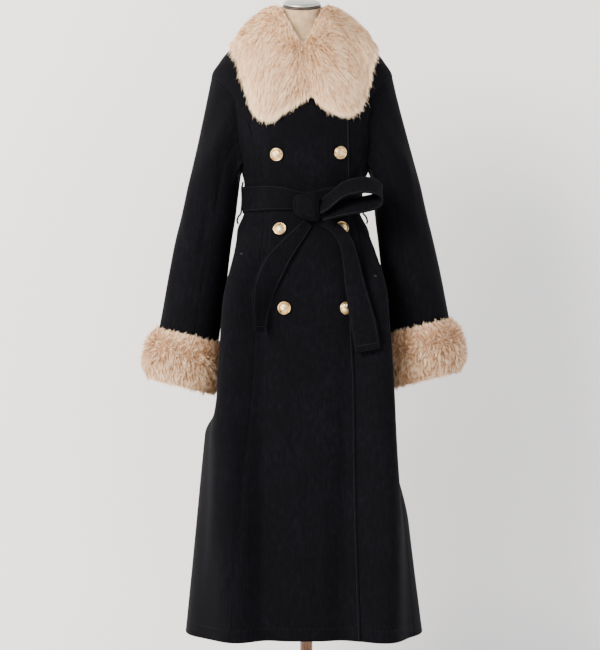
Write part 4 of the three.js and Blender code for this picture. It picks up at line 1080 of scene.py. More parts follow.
def stitch_row(line, normal, pitch=STITCH_PITCH, length=STITCH_LENGTH, wide=THREAD_WIDE):
    """Spindles along a line: two end points and two rings of four, sunk a little at the ends."""
    run = distances(line)
    at = np.arange(pitch / 2, run[-1] - pitch / 2, pitch)
    place, up = at_distances(line, run, at), unit(at_distances(normal, run, at))
    way = unit(at_distances(line, run, at + 0.5) - place)
    side = unit(np.cross(way, up))
    up = np.cross(side, way)
    along_share = np.array([-0.5, -0.28, -0.28, -0.28, -0.28, 0.28, 0.28, 0.28, 0.28, 0.5])
    side_share = np.array([0, 1, 0, -1, 0, 1, 0, -1, 0, 0.0])
    up_share = np.array([-0.6, 0.15, 1.0, 0.15, -0.7, 0.15, 1.0, 0.15, -0.7, -0.6])
    points = (place[:, None] + way[:, None] * (along_share * length)[:, None]
              + side[:, None] * (side_share * wide)[:, None]
              + up[:, None] * (up_share * wide)[:, None])
    one = np.array([(0, 1, 2, 2), (0, 2, 3, 3), (0, 3, 4, 4), (0, 4, 1, 1),
                    (1, 5, 6, 2), (2, 6, 7, 3), (3, 7, 8, 4), (4, 8, 5, 1),
                    (9, 6, 5, 5), (9, 7, 6, 6), (9, 8, 7, 7), (9, 5, 8, 8)])
    faces = one[None] + 10 * np.arange(len(place))[:, None, None]
    return points.reshape(-1, 3), faces.reshape(-1, 4)


def sewn(name, rows):
    """Several stitch rows joined into one mesh of thread."""
    made = [stitch_row(*row) for row in rows]
    starts = np.cumsum([0] + [len(points) for points, _ in made[:-1]])
    points = np.concatenate([points for points, _ in made])
    faces = np.concatenate([faces + start for (_, faces), start in zip(made, starts)])
    print(name, len(points) // 10, "stitches")
    put(name, mesh_of(name, points, faces), thread)


# %% Rows on the front edge and the hem
EDGE_INSET, HEM_PITCH, HEM_STITCH_LENGTH = 4.5, 9.0, 2.0
edge_z = np.linspace(184, 1250, 260)
edge_angle = nudge(front_angle(read(FRONT_EDGE, edge_z, "x"), edge_z), edge_z, -EDGE_INSET)
edge_line = coat(edge_angle, edge_z, OVERLAP_LIFT)
edge_out = coat_normal(edge_angle, edge_z)
edge_line = edge_line + edge_out * (relief(edge_line, edge_out) + 0.1)[:, None]
sewn("front_edge_stitches", [(edge_line, edge_out)])
hem_rows = []
for grid in (right_face, left_face, back_face, *side_faces.values()):
    line = grid[int(np.argmin(np.abs(grid[:30, 3, 2] - HEM_STITCH_Z)))]
    out = unit(np.cross(np.gradient(line, axis=0), [0, 0, 1]))
    hem_rows.append((line[2:-2], out[2:-2], HEM_PITCH, HEM_STITCH_LENGTH))
sewn("hem_stitches", hem_rows)

# %% Rows on the belt
belt_rows_sewn = []
for column in (3, 13):
    line = np.concatenate([belt_face[:, column], belt_face[:1, column]])
    belt_rows_sewn.append((line, unit(line * [1, 1, 0])))
for outer, inner in (bow_faces, *tail_edges.values()):
    for column in (3, 11):
        for face, other in ((outer, inner), (inner, outer)):
            belt_rows_sewn.append((face[:, column], unit(face[:, column] - other[:, column])))
for outer, inner in tail_edges.values():
    for face, other in ((outer, inner), (inner, outer)):
        belt_rows_sewn.append((face[-4, 2:-2], unit(face[-4] - other[-4])[2:-2]))
sewn("belt_stitches", belt_rows_sewn)

# %% [markdown]
# ## Pocket tacks
#
# The pockets are hidden in the skirt's seams. Only the small bar tacks at their ends show:
# a few threads side by side. A tack's row gives its place in the front view and its turn.

# %% Pocket tacks
POCKET_TACKS = [(-122, 961, 4), (150, 916, -12)]
TACK_HALF_LENGTH, TACK_HALF_WIDTH, TACK_THREADS = 5, 1.6, 5
tack_rows = []
for x, z, turn in POCKET_TACKS:
    c, s = math.cos(math.radians(turn)), math.sin(math.radians(turn))
    for shift in np.linspace(-TACK_HALF_WIDTH, TACK_HALF_WIDTH, TACK_THREADS):
        t = np.linspace(-TACK_HALF_LENGTH, TACK_HALF_LENGTH, 12)
        line_x, line_z = x + t * c - shift * s, z + t * s + shift * c
        line = front_point(line_x, line_z, 0)
        out = coat_normal(angle_at(line_x, line_z, folded), line_z)
        tack_rows.append((line + out * (relief(line, out) + 0.3)[:, None], out, 9.0, 8.0))
sewn("pocket_tacks", tack_rows)

# %% [markdown]
# ## Gilt buttons
#
# The buttons are struck brass with a pale gold plate: a rolled rim, a groove, and a low
# dome with a plain sunburst of flutes. A lathe shape gives the first three as a profile of
# radius and height. The flutes are a cosine of the angle, added to the dome's height.

# %% Gilt brass
gilt, tree, shader = new_material("struck_brass_pale_gilt", Metallic=1.0)
coords = node(tree, "TexCoord").outputs["Object"]
wear = node(tree, "TexNoise", Vector=coords, Scale=1 / 0.006, Detail=3)
tint = node(tree, "ValToRGB", {"stops": [(0.35, "#c6a26c"), (0.62, "#e9cf9f")]},
            Fac=wear.outputs["Fac"])
wire(tree, shader, Base_Color=tint.outputs[0])
polish = node(tree, "MapRange", Value=wear.outputs["Fac"], To_Min=0.20, To_Max=0.38)
wire(tree, shader, Roughness=polish.outputs[0])
scratch = node(tree, "TexNoise", Vector=coords, Scale=1 / 0.0008, Detail=2)
raised = node(tree, "Bump", Height=scratch.outputs["Fac"], Strength=0.15, Distance=0.0001)
wire(tree, shader, Normal=raised.outputs[0])

# %% Buttons
BUTTON_RADIUS = 13.5
BUTTONS = np.array([(-51, 1165), (77, 1169), (-45, 1011), (81, 1014), (-36, 850), (89, 850)], float)
BUTTON_PROFILE = columns("r h", [
    (0.30, 0), (0.90, 0), (0.97, 0.035), (1.0, 0.11), (0.985, 0.20), (0.95, 0.265), (0.90, 0.29),
    (0.86, 0.275), (0.83, 0.23), (0.81, 0.18), (0.785, 0.165), (0.76, 0.19), (0.73, 0.25),
    (0.68, 0.30), (0.60, 0.345), (0.50, 0.385), (0.38, 0.425), (0.26, 0.45), (0.12, 0.465),
    (0.02, 0.47)])
FLUTES, BUTTON_SIDES = 12, 96


def button_form():
    """A lathe form: the profile turned, with flutes between 0.25 and 0.72 of the radius."""
    r, h = BUTTON_PROFILE["r"][:, None], BUTTON_PROFILE["h"][:, None]
    turned = np.linspace(0, 2 * np.pi, BUTTON_SIDES, endpoint=False)[None, :]
    on_dome = smooth((r - 0.16) / 0.15) * smooth((0.76 - r) / 0.08) * (h > 0.2)
    on_rim = np.exp(-((r - 0.93) / 0.05)**2) * (h > 0.2)
    h = h + 0.022 * np.cos(FLUTES * turned) * on_dome + 0.008 * np.cos(48 * turned) * on_rim
    return np.stack([r * np.cos(turned), r * np.sin(turned), h], -1) * BUTTON_RADIUS


rings = button_form()
for number, (x, z) in enumerate(BUTTONS, 1):
    seat = front_point(x, z, OVERLAP_LIFT + GAP)
    out = unit(front_point(x, z, OVERLAP_LIFT + 1.5) - seat)
    right = unit(np.cross([0, 0, 1], out))
    frame_axes = np.stack([right, np.cross(out, right), out])
    mesh = mesh_of(f"button_{number}", *closed_ends(seat + rings @ frame_axes))
    put(f"button_{number}_gilt", mesh, gilt, f"button_{number}")
print("buttons", 2 * BUTTON_RADIUS, "mm across")

# %% [markdown]
# ## The dress form
#
# The bust is a stuffed form under a cover of plain linen, joined below the neck by a seam.
# Its sections are superellipses too, and its shoulders follow the coat's inside, because
# the coat rests there. The linen's threads are 0.6 mm apart; they are drawn 2.4 mm apart so
# that the render shows them.

# %% Linen
linen, tree, shader = new_material("linen_plain_weave", Roughness=0.92, Specular_IOR_Level=0.2,
                                   Sheen_Weight=0.15, Sheen_Roughness=0.5)
round_the_form = node(tree, "Attribute", {"attribute_name": "round_mm"}).outputs["Fac"]
up_the_form = node(tree, "Attribute", {"attribute_name": "height_mm"}).outputs["Fac"]
coords = node(tree, "TexCoord").outputs["Object"]
slub = node(tree, "TexNoise", Vector=coords, Scale=1 / 0.012, Detail=3)
DRAWN_THREAD = 2.4
threads = []
for run in (round_the_form, up_the_form):
    turns = node(tree, "Math", {"operation": "MULTIPLY"}, _0=run, _1=2 * math.pi / DRAWN_THREAD)
    phase = node(tree, "Math", {"operation": "MULTIPLY_ADD"}, _0=slub.outputs["Fac"], _1=2.0,
                 _2=turns.outputs[0])
    threads.append(node(tree, "Math", {"operation": "SINE"}, _0=phase.outputs[0]).outputs[0])
weave = node(tree, "Math", {"operation": "MULTIPLY"}, _0=threads[0], _1=threads[1])
tone = node(tree, "Math", {"operation": "MULTIPLY_ADD"}, _0=weave.outputs[0], _1=0.16,
            _2=slub.outputs["Fac"])
tint = node(tree, "ValToRGB", {"stops": [(0.25, "#a98a68"), (0.55, "#bfa07c"), (0.85, "#d0b594")]},
            Fac=tone.outputs[0])
wire(tree, shader, Base_Color=tint.outputs[0])
raised = node(tree, "Bump", Height=weave.outputs[0], Strength=0.35, Distance=0.0004)
wire(tree, shader, Normal=raised.outputs[0])

# %% Bust
NECK_TOP_Z, NECK_RADIUS, CAP_TILT = 1484, 39.5, 20
FORM_REST, FORM_NECK_REST, FORM_SQUARE = WALL + 3.8, WALL + 10, 2.2
NECK_SEAM_Z = 1412
FORM = columns("z half front back", [
    (905, 92, 64, 68), (913, 106, 75, 80), (940, 112, 84, 91), (975, 118, 88, 93),
    (1020, 117, 88, 86), (1060, 111, 84, 74), (1100, 112, 86, 74), (1150, 118, 95, 84),
    (1200, 126, 104, 91), (1250, 140, 102, 94), (1300, 160, 92, 93), (1335, 171, 84, 86),
    (1436, 48, 42, 46), (1448, 43, 41, 43), (1458, 41.5, 40, 42),
    (NECK_TOP_Z, NECK_RADIUS, NECK_RADIUS, NECK_RADIUS)])


def form_surface(angle, z):
    """The bust's own section, blended over the shoulders into the coat's inside."""
    c, s = np.cos(np.radians(angle)), np.sin(np.radians(angle))
    depth = np.where(s < 0, read(FORM, z, "front"), read(FORM, z, "back"))
    across, out = np.abs(c) / read(FORM, z, "half"), np.abs(s) / depth
    radius = (across**FORM_SQUARE + out**FORM_SQUARE)**(-1 / FORM_SQUARE)
    lean = np.tan(np.radians(CAP_TILT)) * smooth((z - 1450) / (NECK_TOP_Z - 1450))
    own = np.stack([radius * c, radius * s, z + radius * s * lean], -1)
    rest = FORM_REST + (FORM_NECK_REST - FORM_REST) * smooth((z - 1350) / 34)
    shoulder = smooth((z - SHOULDER_Z) / 16) * smooth((NECK_SIDE_Z + 2 - z) / 14)
    return own + (coat(angle, z, -rest) - own) * shoulder[..., None]


form_z = np.unique(np.concatenate([np.linspace(905, 1300, 50), np.linspace(1300, NECK_TOP_Z, 60),
                                   NECK_SEAM_Z + np.array([-3, -1.5, -0.7, 0, 0.7, 1.5, 3])]))
form_angle = np.linspace(0, 360, 120, endpoint=False)
angle, z = np.broadcast_arrays(form_angle[None, :], form_z[:, None])
bust_rings = form_surface(angle, z)
seam = 1.1 * np.exp(-((z - NECK_SEAM_Z) / 1.1)**2)
centre = bust_rings.mean(1, keepdims=True) * [1, 1, 0]
bust_rings = bust_rings - unit((bust_rings - centre) * [1, 1, 0]) * seam[..., None]
step = np.linalg.norm(np.roll(bust_rings, -1, 1) - bust_rings, axis=-1)
around_mm = np.concatenate([(np.cumsum(step, 1) - step).ravel(), [0, 0]])
height_mm = np.concatenate([z.ravel(), [905, NECK_TOP_Z]])
mesh = mesh_of("form_bust", *closed_ends(bust_rings),
               {"round_mm": around_mm, "height_mm": height_mm})
bust = put("form_bust_cover", mesh, linen, "form_bust")
print("bust", np.round(np.ptp(bust_rings.reshape(-1, 3), axis=0)), "mm")

# %% [markdown]
# ## Cap, pole and base
#
# The neck ends in a turned rim, coloured dark brown: partly its own colour and partly painted
# shade under the cap's edge. Its cap is of satin nickel plate. A beech pole, stained brown,
# carries the bust from a socket on a round base. All are turned, so each is a profile of
# radius and height, carried round an axis; the cap's axis leans back to the front.

# %% Wood and nickel
beech, tree, shader = new_material("beech_turned_stained", Roughness=0.38, Coat_Weight=0.35,
                                   Coat_Roughness=0.18)
coords = node(tree, "TexCoord").outputs["Object"]
grain_way = node(tree, "Mapping", Vector=coords, Scale=(1, 1, 0.06))
grain = node(tree, "TexNoise", Vector=grain_way.outputs[0], Scale=1 / 0.004, Detail=5,
             Roughness=0.6)
tint = node(tree, "ValToRGB", {"stops": [(0.35, "#4a2a14"), (0.55, "#7a4c28"), (0.75, "#99683c")]},
            Fac=grain.outputs["Fac"])
wire(tree, shader, Base_Color=tint.outputs[0])
raised = node(tree, "Bump", Height=grain.outputs["Fac"], Strength=0.2, Distance=0.0003)
wire(tree, shader, Normal=raised.outputs[0])
# The rim's dark brown is partly its own colour and partly painted shade: the dark band under the cap's
# edge.
dark_rim_and_shade, tree, shader = new_material("beech_turned_dark_and_shade", Roughness=0.42,
                                      Specular_IOR_Level=0.4)
coords = node(tree, "TexCoord").outputs["Object"]
grain = node(tree, "TexNoise", Vector=coords, Scale=1 / 0.003, Detail=4)
tint = node(tree, "ValToRGB", {"stops": [(0.3, "#2a211b"), (0.7, "#4b3f36")]},
            Fac=grain.outputs["Fac"])
wire(tree, shader, Base_Color=tint.outputs[0])
nickel, tree, shader = new_material("nickel_plate_satin", Metallic=1.0, Roughness=0.46)
coords = node(tree, "TexCoord").outputs["Object"]
brushed_way = node(tree, "Mapping", Vector=coords, Scale=(0.2, 1, 1))
brushed = node(tree, "TexNoise", Vector=brushed_way.outputs[0], Scale=1 / 0.003, Detail=3)
tint = node(tree, "ValToRGB", {"stops": [(0.3, "#a9a7a2"), (0.7, "#c3c1bc")]},
            Fac=brushed.outputs["Fac"])
wire(tree, shader, Base_Color=tint.outputs[0])
raised = node(tree, "Bump", Height=brushed.outputs["Fac"], Strength=0.15, Distance=0.0002)
wire(tree, shader, Normal=raised.outputs[0])

# %% Turned parts
POLE_X, POLE_RADIUS, BASE_RADIUS, BASE_HEIGHT = 9, 13, 165, 14


def turned_part(name, profile, material, centre=(POLE_X, 0, 0), tilt=0.0, sides=96):
    """A profile of (radius, height) rows carried round an axis through the centre, which
    leans by the tilt about X: each ring is radius x (cos, sin) at its height."""
    profile = np.array(profile, float)
    around = np.linspace(0, 2 * np.pi, sides, endpoint=False)[None, :]
    r, h = profile[:, :1], profile[:, 1:]
    rings = np.stack([r * np.cos(around), r * np.sin(around), h + 0 * around], -1)
    c, s = math.cos(math.radians(tilt)), math.sin(math.radians(tilt))
    rings = rings @ np.array([[1, 0, 0], [0, c, s], [0, -s, c]]) + np.array(centre, float)
    put(f"{name}_turned", mesh_of(name, *closed_ends(rings)), material, name)


neck_end = (0, 0, NECK_TOP_Z + GAP)
cap_rim = [(20, 0), (39, 0), (39.6, 0.4), (40.3, 1.2), (40.5, 2), (40.2, 3), (39.4, 3.8), (38.8, 4),
           (20, 4)]
cap = [(20, 4.3), (36.8, 4.3), (37.8, 4.9), (38.5, 6.3), (38, 8), (36, 10.3), (30, 11.7),
       (20, 12.8), (8, 13.3)]
pole = [(12, BASE_HEIGHT + GAP), (POLE_RADIUS, BASE_HEIGHT + 1), (POLE_RADIUS, 300),
        (POLE_RADIUS, 600), (POLE_RADIUS, 904), (12, 904.7)]
base = [(100, 0), (162, 0), (164.4, 0.7), (BASE_RADIUS, 2), (BASE_RADIUS, 9), (164.3, 11.3),
        (162, 13.2), (158, BASE_HEIGHT), (100, BASE_HEIGHT)]
turned_part("form_cap_rim", cap_rim, dark_rim_and_shade, neck_end, CAP_TILT)
turned_part("form_cap", cap, nickel, neck_end, CAP_TILT)
turned_part("form_pole", pole, beech)
turned_part("form_base", base, beech)
socket = np.array([(13.3, 14.3), (31, 14.3), (32, 15.1), (31.6, 17.2), (30, 19.3), (26, 22.2),
                   (21.5, 26.5), (19.5, 29.4), (18, 30.3), (13.3, 30.3)])
around = np.linspace(0, 2 * np.pi, 96, endpoint=False)[None, :]
rings = np.stack([POLE_X + socket[:, :1] * np.cos(around), socket[:, :1] * np.sin(around),
                  socket[:, 1:] + 0 * around], -1)
mesh = mesh_of("form_socket", rings, quads(len(socket), 96, 0, True, True))
put("form_socket_turned", mesh, beech, "form_socket")
print("base", 2 * BASE_RADIUS, "mm across")

# %% [markdown]
# ## Fur
#
# Long-haired faux fur has a dense pale underfur and guard hairs 40 to 50 mm long, which lie
# in locks, cream at the tip. Towards the root their colour darkens: partly the fur's own
# browner root and partly painted shade deep in the pile. Particle hair would need its own
# render settings and can't be exported, so each lock's hairs are tapered blades of five
# triangles in joined meshes. A blade starts on the inner form and ends near the pile's outer
# reach, further on in the way the fur lies, so the pile keeps the solid's outline. A real hair
# is a tenth of a millimetre wide; a blade is as wide as a small bundle of hairs, so that it
# shows.

# %% Fur materials
PELTS = {}
for name, root, middle, tip in (("faux_fur_cream", "#8f5f38", "#e3ad79", "#ffe3bd"),
                                ("faux_fur_sand", "#7e5737", "#cd9e74", "#f4d6b3")):
    pelt, tree, shader = new_material(name, Roughness=0.62, Specular_IOR_Level=0.3)
    along = node(tree, "Attribute", {"attribute_name": "along"}).outputs["Fac"]
    tone = node(tree, "Attribute", {"attribute_name": "tone"}).outputs["Fac"]
    lit = node(tree, "Math", {"operation": "MULTIPLY_ADD"}, _0=tone, _1=0.55, _2=along)
    # The ramp's dark root end is partly the fur's own browner root and partly painted shade deep in the
    # pile.
    tint = node(tree, "ValToRGB", {"stops": [(0.05, root), (0.45, middle), (0.95, tip)]},
                Fac=lit.outputs[0])
    wire(tree, shader, Base_Color=tint.outputs[0])
    PELTS[name] = pelt

# %% Fur blades
BLADE_STEPS = np.array([0, 0.4, 0.75, 1.0])
BLADE_WIDTHS = np.array([1.0, 0.9, 0.55])


def fur(name, material, place, count, seed, lie, locks, wide, stray, overhang, start=(0, 1)):
    """Blades over a pile. place(u, v, reach) gives its points: reach 0 is the skin and 1 the
    outer form. lie(u, v) is how far a tip moves on in u and v, and stray how far it is off
    that at random. A blade is a parabola from the skin to its tip, which is drawn towards the
    middle of its lock, and past the pelt's edge it goes no further than the overhang."""
    rng = np.random.default_rng(seed)
    u = rng.uniform(start[0], start[1], count * 3)
    v = rng.uniform(0, 1, count * 3)
    e = 1e-3
    size = np.linalg.norm(np.cross(place(u + e, v, 0.6) - place(u - e, v, 0.6),
                                   place(u, v + e, 0.6) - place(u, v - e, 0.6)), axis=-1)
    kept = np.flatnonzero(rng.uniform(0, np.quantile(size, 0.98), len(u)) < size)[:count]
    u, v = u[kept], v[kept]
    n = len(u)
    root = place(u, v, rng.uniform(0.22, 0.5, n))
    du, dv = lie(u, v + rng.normal(0, 0.09, n))
    stretch = rng.normal(1, 0.25, n)
    tip_u = u + du * stretch + rng.normal(0, stray[0], n)
    tip_v = v + dv * stretch + rng.normal(0, stray[1], n)
    for (per_u, per_v), pull in locks:
        cell_u, cell_v = np.floor(tip_u * per_u), np.floor(tip_v * per_v)
        hashed = np.sin(cell_u * 12.9898 + cell_v * 78.233 + seed) * 43758.5453
        shift_u, shift_v = hashed % 1, (hashed * 7.13) % 1
        tip_u = tip_u + pull * ((cell_u - 0.3 + 1.6 * shift_u) / per_u - tip_u)
        tip_v = tip_v + pull * ((cell_v - 0.3 + 1.6 * shift_v) / per_v - tip_v)
    lock_tone = hashed * 3.7 % 1
    longest = 0.12 - 0.30 * np.log(1 - 0.95 * lock_tone)
    reach_out = overhang * longest * rng.uniform(0.35, 1, n)
    tip_v = np.where(tip_v < 0, -reach_out * (1 - np.exp(tip_v / reach_out)), tip_v)
    tip_v = np.where(tip_v > 1, 1 + reach_out * (1 - np.exp((1 - tip_v) / reach_out)), tip_v)
    tip = place(tip_u, tip_v, rng.normal(0.95, 0.13, n).clip(0.6, 1.2))
    lifted = place(u + (tip_u - u) * 0.35, v + (tip_v - v) * 0.35, 0.86)
    tip = tip + rng.normal(0, 1.1, (n, 3))
    s = BLADE_STEPS[None, :, None]
    line = root[:, None] * (1 - s)**2 + 2 * lifted[:, None] * s * (1 - s) + tip[:, None] * s**2
    way = unit(tip - root)
    out = unit(place(u, v, 1.0) - place(u, v, 0.0))
    side = unit(np.cross(way, out + rng.normal(0, 0.55, (n, 3))))
    widths = (wide * rng.uniform(0.7, 1.3, n) / 2)[:, None, None]
    half = side[:, None] * BLADE_WIDTHS[None, :, None] * widths
    points = np.concatenate([line[:, :3] - half, line[:, :3] + half, line[:, 3:]], 1)
    one = np.array([(0, 3, 4, 1), (1, 4, 5, 2), (2, 5, 6, 6)])
    faces = (one[None] + 7 * np.arange(n)[:, None, None]).reshape(-1, 4)
    cloud = np.sin(u * 37 + 3 * np.sin(v * 5 + seed)) * np.sin(v * 9 + 2 * np.sin(u * 23))
    cloud = 0.5 + 0.5 * cloud
    tone = 0.8 * lock_tone + 0.4 * cloud + rng.normal(0, 0.18, n) - 0.62
    along = np.broadcast_to(BLADE_STEPS[[0, 1, 2, 0, 1, 2, 3]], (n, 7))
    facing = unit(np.cross(side, way))[:, None]
    soft = unit(0.75 * out[:, None] + 0.35 * facing * np.ones((1, 7, 1)))
    mesh = mesh_of(name, points, faces, {"along": along, "tone": np.repeat(tone, 7)}, normals=soft)
    put(name, mesh, material)
    print(name, n, "blades,", 5 * n, "triangles")


# %% [markdown]
# ## Fur collar
#
# The collar's stations run from the wearer's right end at the front, round the back of the
# neck, to the left end. Its edge lies on the coat; over the shoulders it arches to the
# neck. The fur lies outward to the edge, and stands up round the neck. A last sparse row of
# the longest hairs fringes the edge.

# %% Collar form
COLLAR = columns("at edge low neck high pile arch", [
    (0, -81, 1292, -88, 1392, 24, 0), (1, -90, 1276, -93, 1396, 31, 0),
    (2, -102, 1263, -99, 1406, 34, 0), (3, -113, 1246, -107, 1420, 34, 0),
    (4, -123, 1238, -117, 1437, 33, 0.1),
    (5, -133, 1252, -130, 1456, 30, 0.4), (6, -142, 1300, -143, 1473, 24, 0.7),
    (7, -154, 1364, -161, 1482, 18, 1), (8, -180, 1408, -180, 1485, 16, 1),
    (9, -208, 1394, -206, 1487, 19, 1), (10, -240, 1352, -238, 1490, 26, 1),
    (11, -270, 1344, -270, 1490, 26, 1), (12, -300, 1352, -302, 1490, 26, 1),
    (13, -332, 1394, -334, 1487, 19, 1), (14, -360, 1406, -360, 1485, 16, 1),
    (15, -383, 1358, -379, 1482, 18, 1), (16, -392, 1302, -395, 1473, 24, 0.7),
    (17, -399, 1264, -409, 1457, 31, 0.4), (18, -408, 1248, -421, 1440, 34, 0.1),
    (19, -418, 1251, -430, 1423, 35, 0), (20, -429, 1262, -438, 1408, 33, 0),
    (21, -440.5, 1290, -447.5, 1392, 25, 0)])
COLLAR_SEAT, COLLAR_LOFT = OVERLAP_LIFT + 0.8, 5


def outward(angle, rise):
    """A unit vector out from the neck's axis, tipped up by the rise."""
    turn = np.radians(angle)
    return unit(np.stack([np.cos(turn), np.sin(turn), rise + 0 * turn], -1))


def collar_place(u, v, reach):
    """The pile over the seat: a dome of pile x (1 - |2v - 1|^2.6)^0.62, raised by the reach.
    Beyond the collar's edges a point goes on outward, so that tips may overhang them."""
    u, v, reach = np.broadcast_arrays(*(np.asarray(x, float) for x in (u, v, reach)))
    at = np.clip(u, 0, 1) * 21
    edge, low, neck, high, pile, arch = (read(COLLAR, at, key, "at") for key in
                                         ("edge", "low", "neck", "high", "pile", "arch"))
    inside = np.clip(v, 0, 1)
    seat = COLLAR_SEAT + COLLAR_LOFT * arch
    seated = coat(edge + (neck - edge) * inside, low + (high - low) * inside, seat)
    foot, roll = coat(edge, low, seat), coat(neck, high, seat)
    level = foot + (roll - foot) * inside[..., None]
    base = seated + (level - seated) * (arch * smooth(reach))[..., None]
    dome = pile * (1 - np.abs(2 * inside - 1)**2.6 + 1e-9)**0.62
    way = unit(coat_normal(edge, low) * (1 - inside)[..., None]
               + outward(neck, 0.9) * inside[..., None])
    over_edge = np.minimum(v, 0)[..., None] * unit(roll - foot) * 160
    over_roll = np.maximum(v - 1, 0)[..., None] * unit(roll - foot + 2.0 * way) * 120
    over_end = (np.clip(u, 0, 1) - u)[..., None] * [600, 0, 0]
    stand = np.minimum(np.abs(v - inside) * 110, 5) * reach
    return base + way * (dome * reach + stand)[..., None] + over_edge + over_roll + over_end


def collar_lie(u, v):
    """Down to the edge over most of the collar, up round the neck, and away from the front
    ends, where the two lobes part."""
    down = -0.16 * (1 - smooth((v - 0.66) / 0.34)) + 0.06 * smooth((v - 0.8) / 0.2)
    lobes = smooth((0.24 - u) / 0.12) * smooth((u - 0.03) / 0.06)
    lobes = lobes - smooth((u - 0.76) / 0.12) * smooth((0.97 - u) / 0.06)
    meeting = -smooth((0.05 - u) / 0.05) + smooth((u - 0.95) / 0.05)
    return 0.026 * lobes * (1 - 0.4 * v) + 0.016 * meeting, down


# The underfur sits low on the colour ramp, at a dark brown, which paints the shade deep in the pile
# between the locks; the fur's own underfur is pale.
UNDERFUR_REACH, UNDERFUR_SHADE_ALONG = 0.62, 0.14


def underfur(name, place, u, v, material, replaced, loop=False):
    """A closed body at a share of the pile's height, which fills the fur from inside. Its dark
    brown, near the root's colour, is painted shade deep in the pile.
    """
    u, v = np.broadcast_arrays(u[:, None], v[None, :])
    points = np.stack([place(u, v, UNDERFUR_REACH), place(u, v, 0.0)])
    painted_shade_tone = {"along": np.full(2 * u.size, UNDERFUR_SHADE_ALONG), "tone": np.zeros(2 * u.size)}
    mesh = mesh_of(name, points, wall_faces(*u.shape, loop=loop), painted_shade_tone)
    put(name, mesh, material, replaced)


underfur("fur_collar_underfur", collar_place, np.linspace(0, 1, 150), np.linspace(0, 1, 26),
         PELTS["faux_fur_cream"], "fur_collar")
collar_locks = [((84, 12), 0.3), ((200, 30), 0.62)]
for part, (low, high) in {"right": (0, 0.33), "back": (0.33, 0.67), "left": (0.67, 1)}.items():
    fur(f"fur_collar_{part}", PELTS["faux_fur_cream"], collar_place, 25500, 11, collar_lie,
        collar_locks, 0.82, (0.004, 0.035), 0.18, (low, high))


def fringe_place(u, v, reach):
    """The collar's outer tenth, stretched to the whole of v."""
    return collar_place(u, 0.1 * np.asarray(v, float), reach)


def fringe_lie(u, v):
    """The longest guard hairs stand out past the edge, fanned by a slow sway."""
    return 0.004 * np.sin(u * 61) + 0.010 * np.sin(u * 17), -1.9 + 0 * v


fur("fur_collar_fringe", PELTS["faux_fur_cream"], fringe_place, 5200, 31, fringe_lie,
    [((90, 1.5), 0.25), ((260, 2.5), 0.5)], 0.5, (0.004, 0.35), 2.6)

# %% [markdown]
# ## Fur cuffs
#
# Each cuff is a band of the same fur round the sleeve's end, a little sandier. Its pile
# stands 25 mm proud; the hairs lie down to the hand, and the top edge's stand up.

# %% Cuffs
CUFF_PILE = 25


def cuff_place(side):
    """The pile round a sleeve: the ring moved out by pile x (1 - |2v - 1|^3)^0.6."""
    def place(u, v, reach):
        u, v, reach = np.broadcast_arrays(*(np.asarray(x, float) for x in (u, v, reach)))
        inside = np.clip(v, 0, 1)
        past = v - inside
        crown = CUFF_PILE * (1 - np.abs(2 * inside - 1)**3 + 1e-9)**0.6
        lift = GAP + 0.8 + crown * reach + np.minimum(np.abs(past) * 60, 7) * reach
        z = CUFF_LOW[side] + (CUFF_HIGH[side] - CUFF_LOW[side]) * inside
        return sleeve_ring(side, u % 1, z, lift) + past[..., None] * [0, 0, 110]
    return place


def cuff_lie(u, v):
    """Down over the lower two thirds, up at the top edge, with a slow sway round the arm."""
    return (0.012 * np.sin(u * 4 * np.pi + 1),
            -0.15 * (1 - smooth((v - 0.4) / 0.4)) + 0.14 * smooth((v - 0.55) / 0.4))


for side, hand in ((-1, "right"), (1, "left")):
    place = cuff_place(side)
    underfur(f"fur_cuff_{hand}_underfur", place, np.linspace(0, 1, 72, endpoint=False),
             np.linspace(0, 1, 16), PELTS["faux_fur_sand"], f"fur_cuff_{hand}", loop=True)
    fur(f"fur_cuff_{hand}_pile", PELTS["faux_fur_sand"], place, 17500, 23 + side, cuff_lie,
        [((36, 8), 0.3), ((90, 20), 0.62)], 0.82, (0.006, 0.04), 0.2)

# %% [markdown]
# ## Studio
#
# A pale floor and a pale wall close behind the coat, one large soft light from the
# viewer's left, a weak one from the right and two narrow ones that rake the dark sides, so
# that near-black cloth still shows its form. The wall is clear from behind.

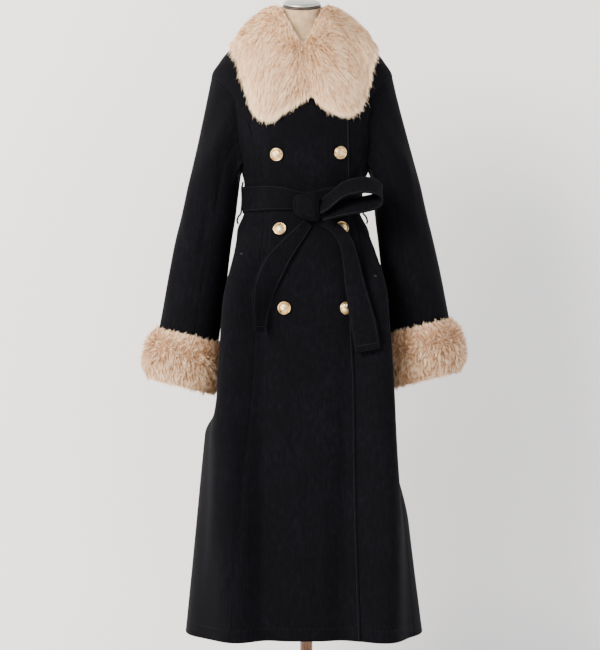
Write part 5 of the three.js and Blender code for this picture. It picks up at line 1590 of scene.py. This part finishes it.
# %% Studio
wall_paint, tree, shader = new_material("matt_wall_paint", Roughness=0.95, Specular_IOR_Level=0.1)
coords = node(tree, "TexCoord").outputs["Object"]
roller = node(tree, "TexNoise", Vector=coords, Scale=1 / 0.9, Detail=2)
tint = node(tree, "ValToRGB", {"stops": [(0.3, "#f2f0ee"), (0.7, "#f6f4f2")]},
            Fac=roller.outputs["Fac"])
wire(tree, shader, Base_Color=tint.outputs[0])
behind = node(tree, "NewGeometry").outputs["Backfacing"]
see_through = node(tree, "BsdfTransparent").outputs[0]
seen = node(tree, "MixShader", _0=behind, _1=shader.outputs[0], _2=see_through)
wire(tree, tree.nodes["Material Output"], Surface=seen.outputs[0])
floor_points = np.array([(-7000, -8000, 0), (7000, -8000, 0), (7000, 8000, 0), (-7000, 8000, 0)])
wall_points = np.array([(-3500, 650, 0), (3500, 650, 0), (3500, 650, 3400), (-3500, 650, 3400)])
for name, corners in (("floor", floor_points), ("wall", wall_points)):
    mesh = bpy.data.meshes.new(name)
    mesh.from_pydata((corners * MM).tolist(), [], [(0, 1, 2, 3)])
    mesh.materials.append(wall_paint)
    linked(name, mesh)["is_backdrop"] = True

world = bpy.data.worlds.new("studio_air")
world.use_nodes = True
bpy.context.scene.world = world
world.node_tree.nodes["Background"].inputs["Color"].default_value = linear("#eef0f3")
world.node_tree.nodes["Background"].inputs["Strength"].default_value = 1.35
LIGHTS = [
    ("key", (-2.3, -2.7, 2.5), (0, 0, 0.95), 1.7, 300, "#fffaf3"),
    ("fill", (2.6, -2.4, 1.3), (0, 0, 0.8), 1.6, 20, "#f2f5ff"),
    ("rake_left", (-2.2, 0.35, 1.7), (0, 0, 1.0), 0.7, 22, "#ffffff"),
    ("rake_right", (2.2, 0.35, 1.7), (0, 0, 1.0), 0.7, 14, "#ffffff"),
]
for name, stand, target, size, power, colour in LIGHTS:
    data = bpy.data.lights.new(name, "AREA")
    data.size, data.energy, data.color = size, power, linear(colour)[:3]
    light = linked(name, data)
    light.location = stand
    aim = np.array(target) - np.array(stand)
    down, turn = math.atan2(np.hypot(aim[0], aim[1]), -aim[2]), math.atan2(-aim[0], aim[1])
    light.rotation_euler = (down, 0, turn)
print("lights", [row[0] for row in LIGHTS])

# %% [markdown]
# ## Sizes
#
# Both boxes are printed side by side, the solids' and the visual model's; cloth and fur
# stand a little proud of the solids. The visual model has to stay in the solids' box,
# apart from a little that cloth and fur stand proud.

# %% Sizes and boxes
visual_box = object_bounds()
boxes = {"cad": [list(corner) for corner in cad_box], "visual": [list(corner) for corner in visual_box]}
print("cut sizes", CUTS)
print("boxes", {key: [[round(v, 4) for v in corner] for corner in box] for key, box in boxes.items()})
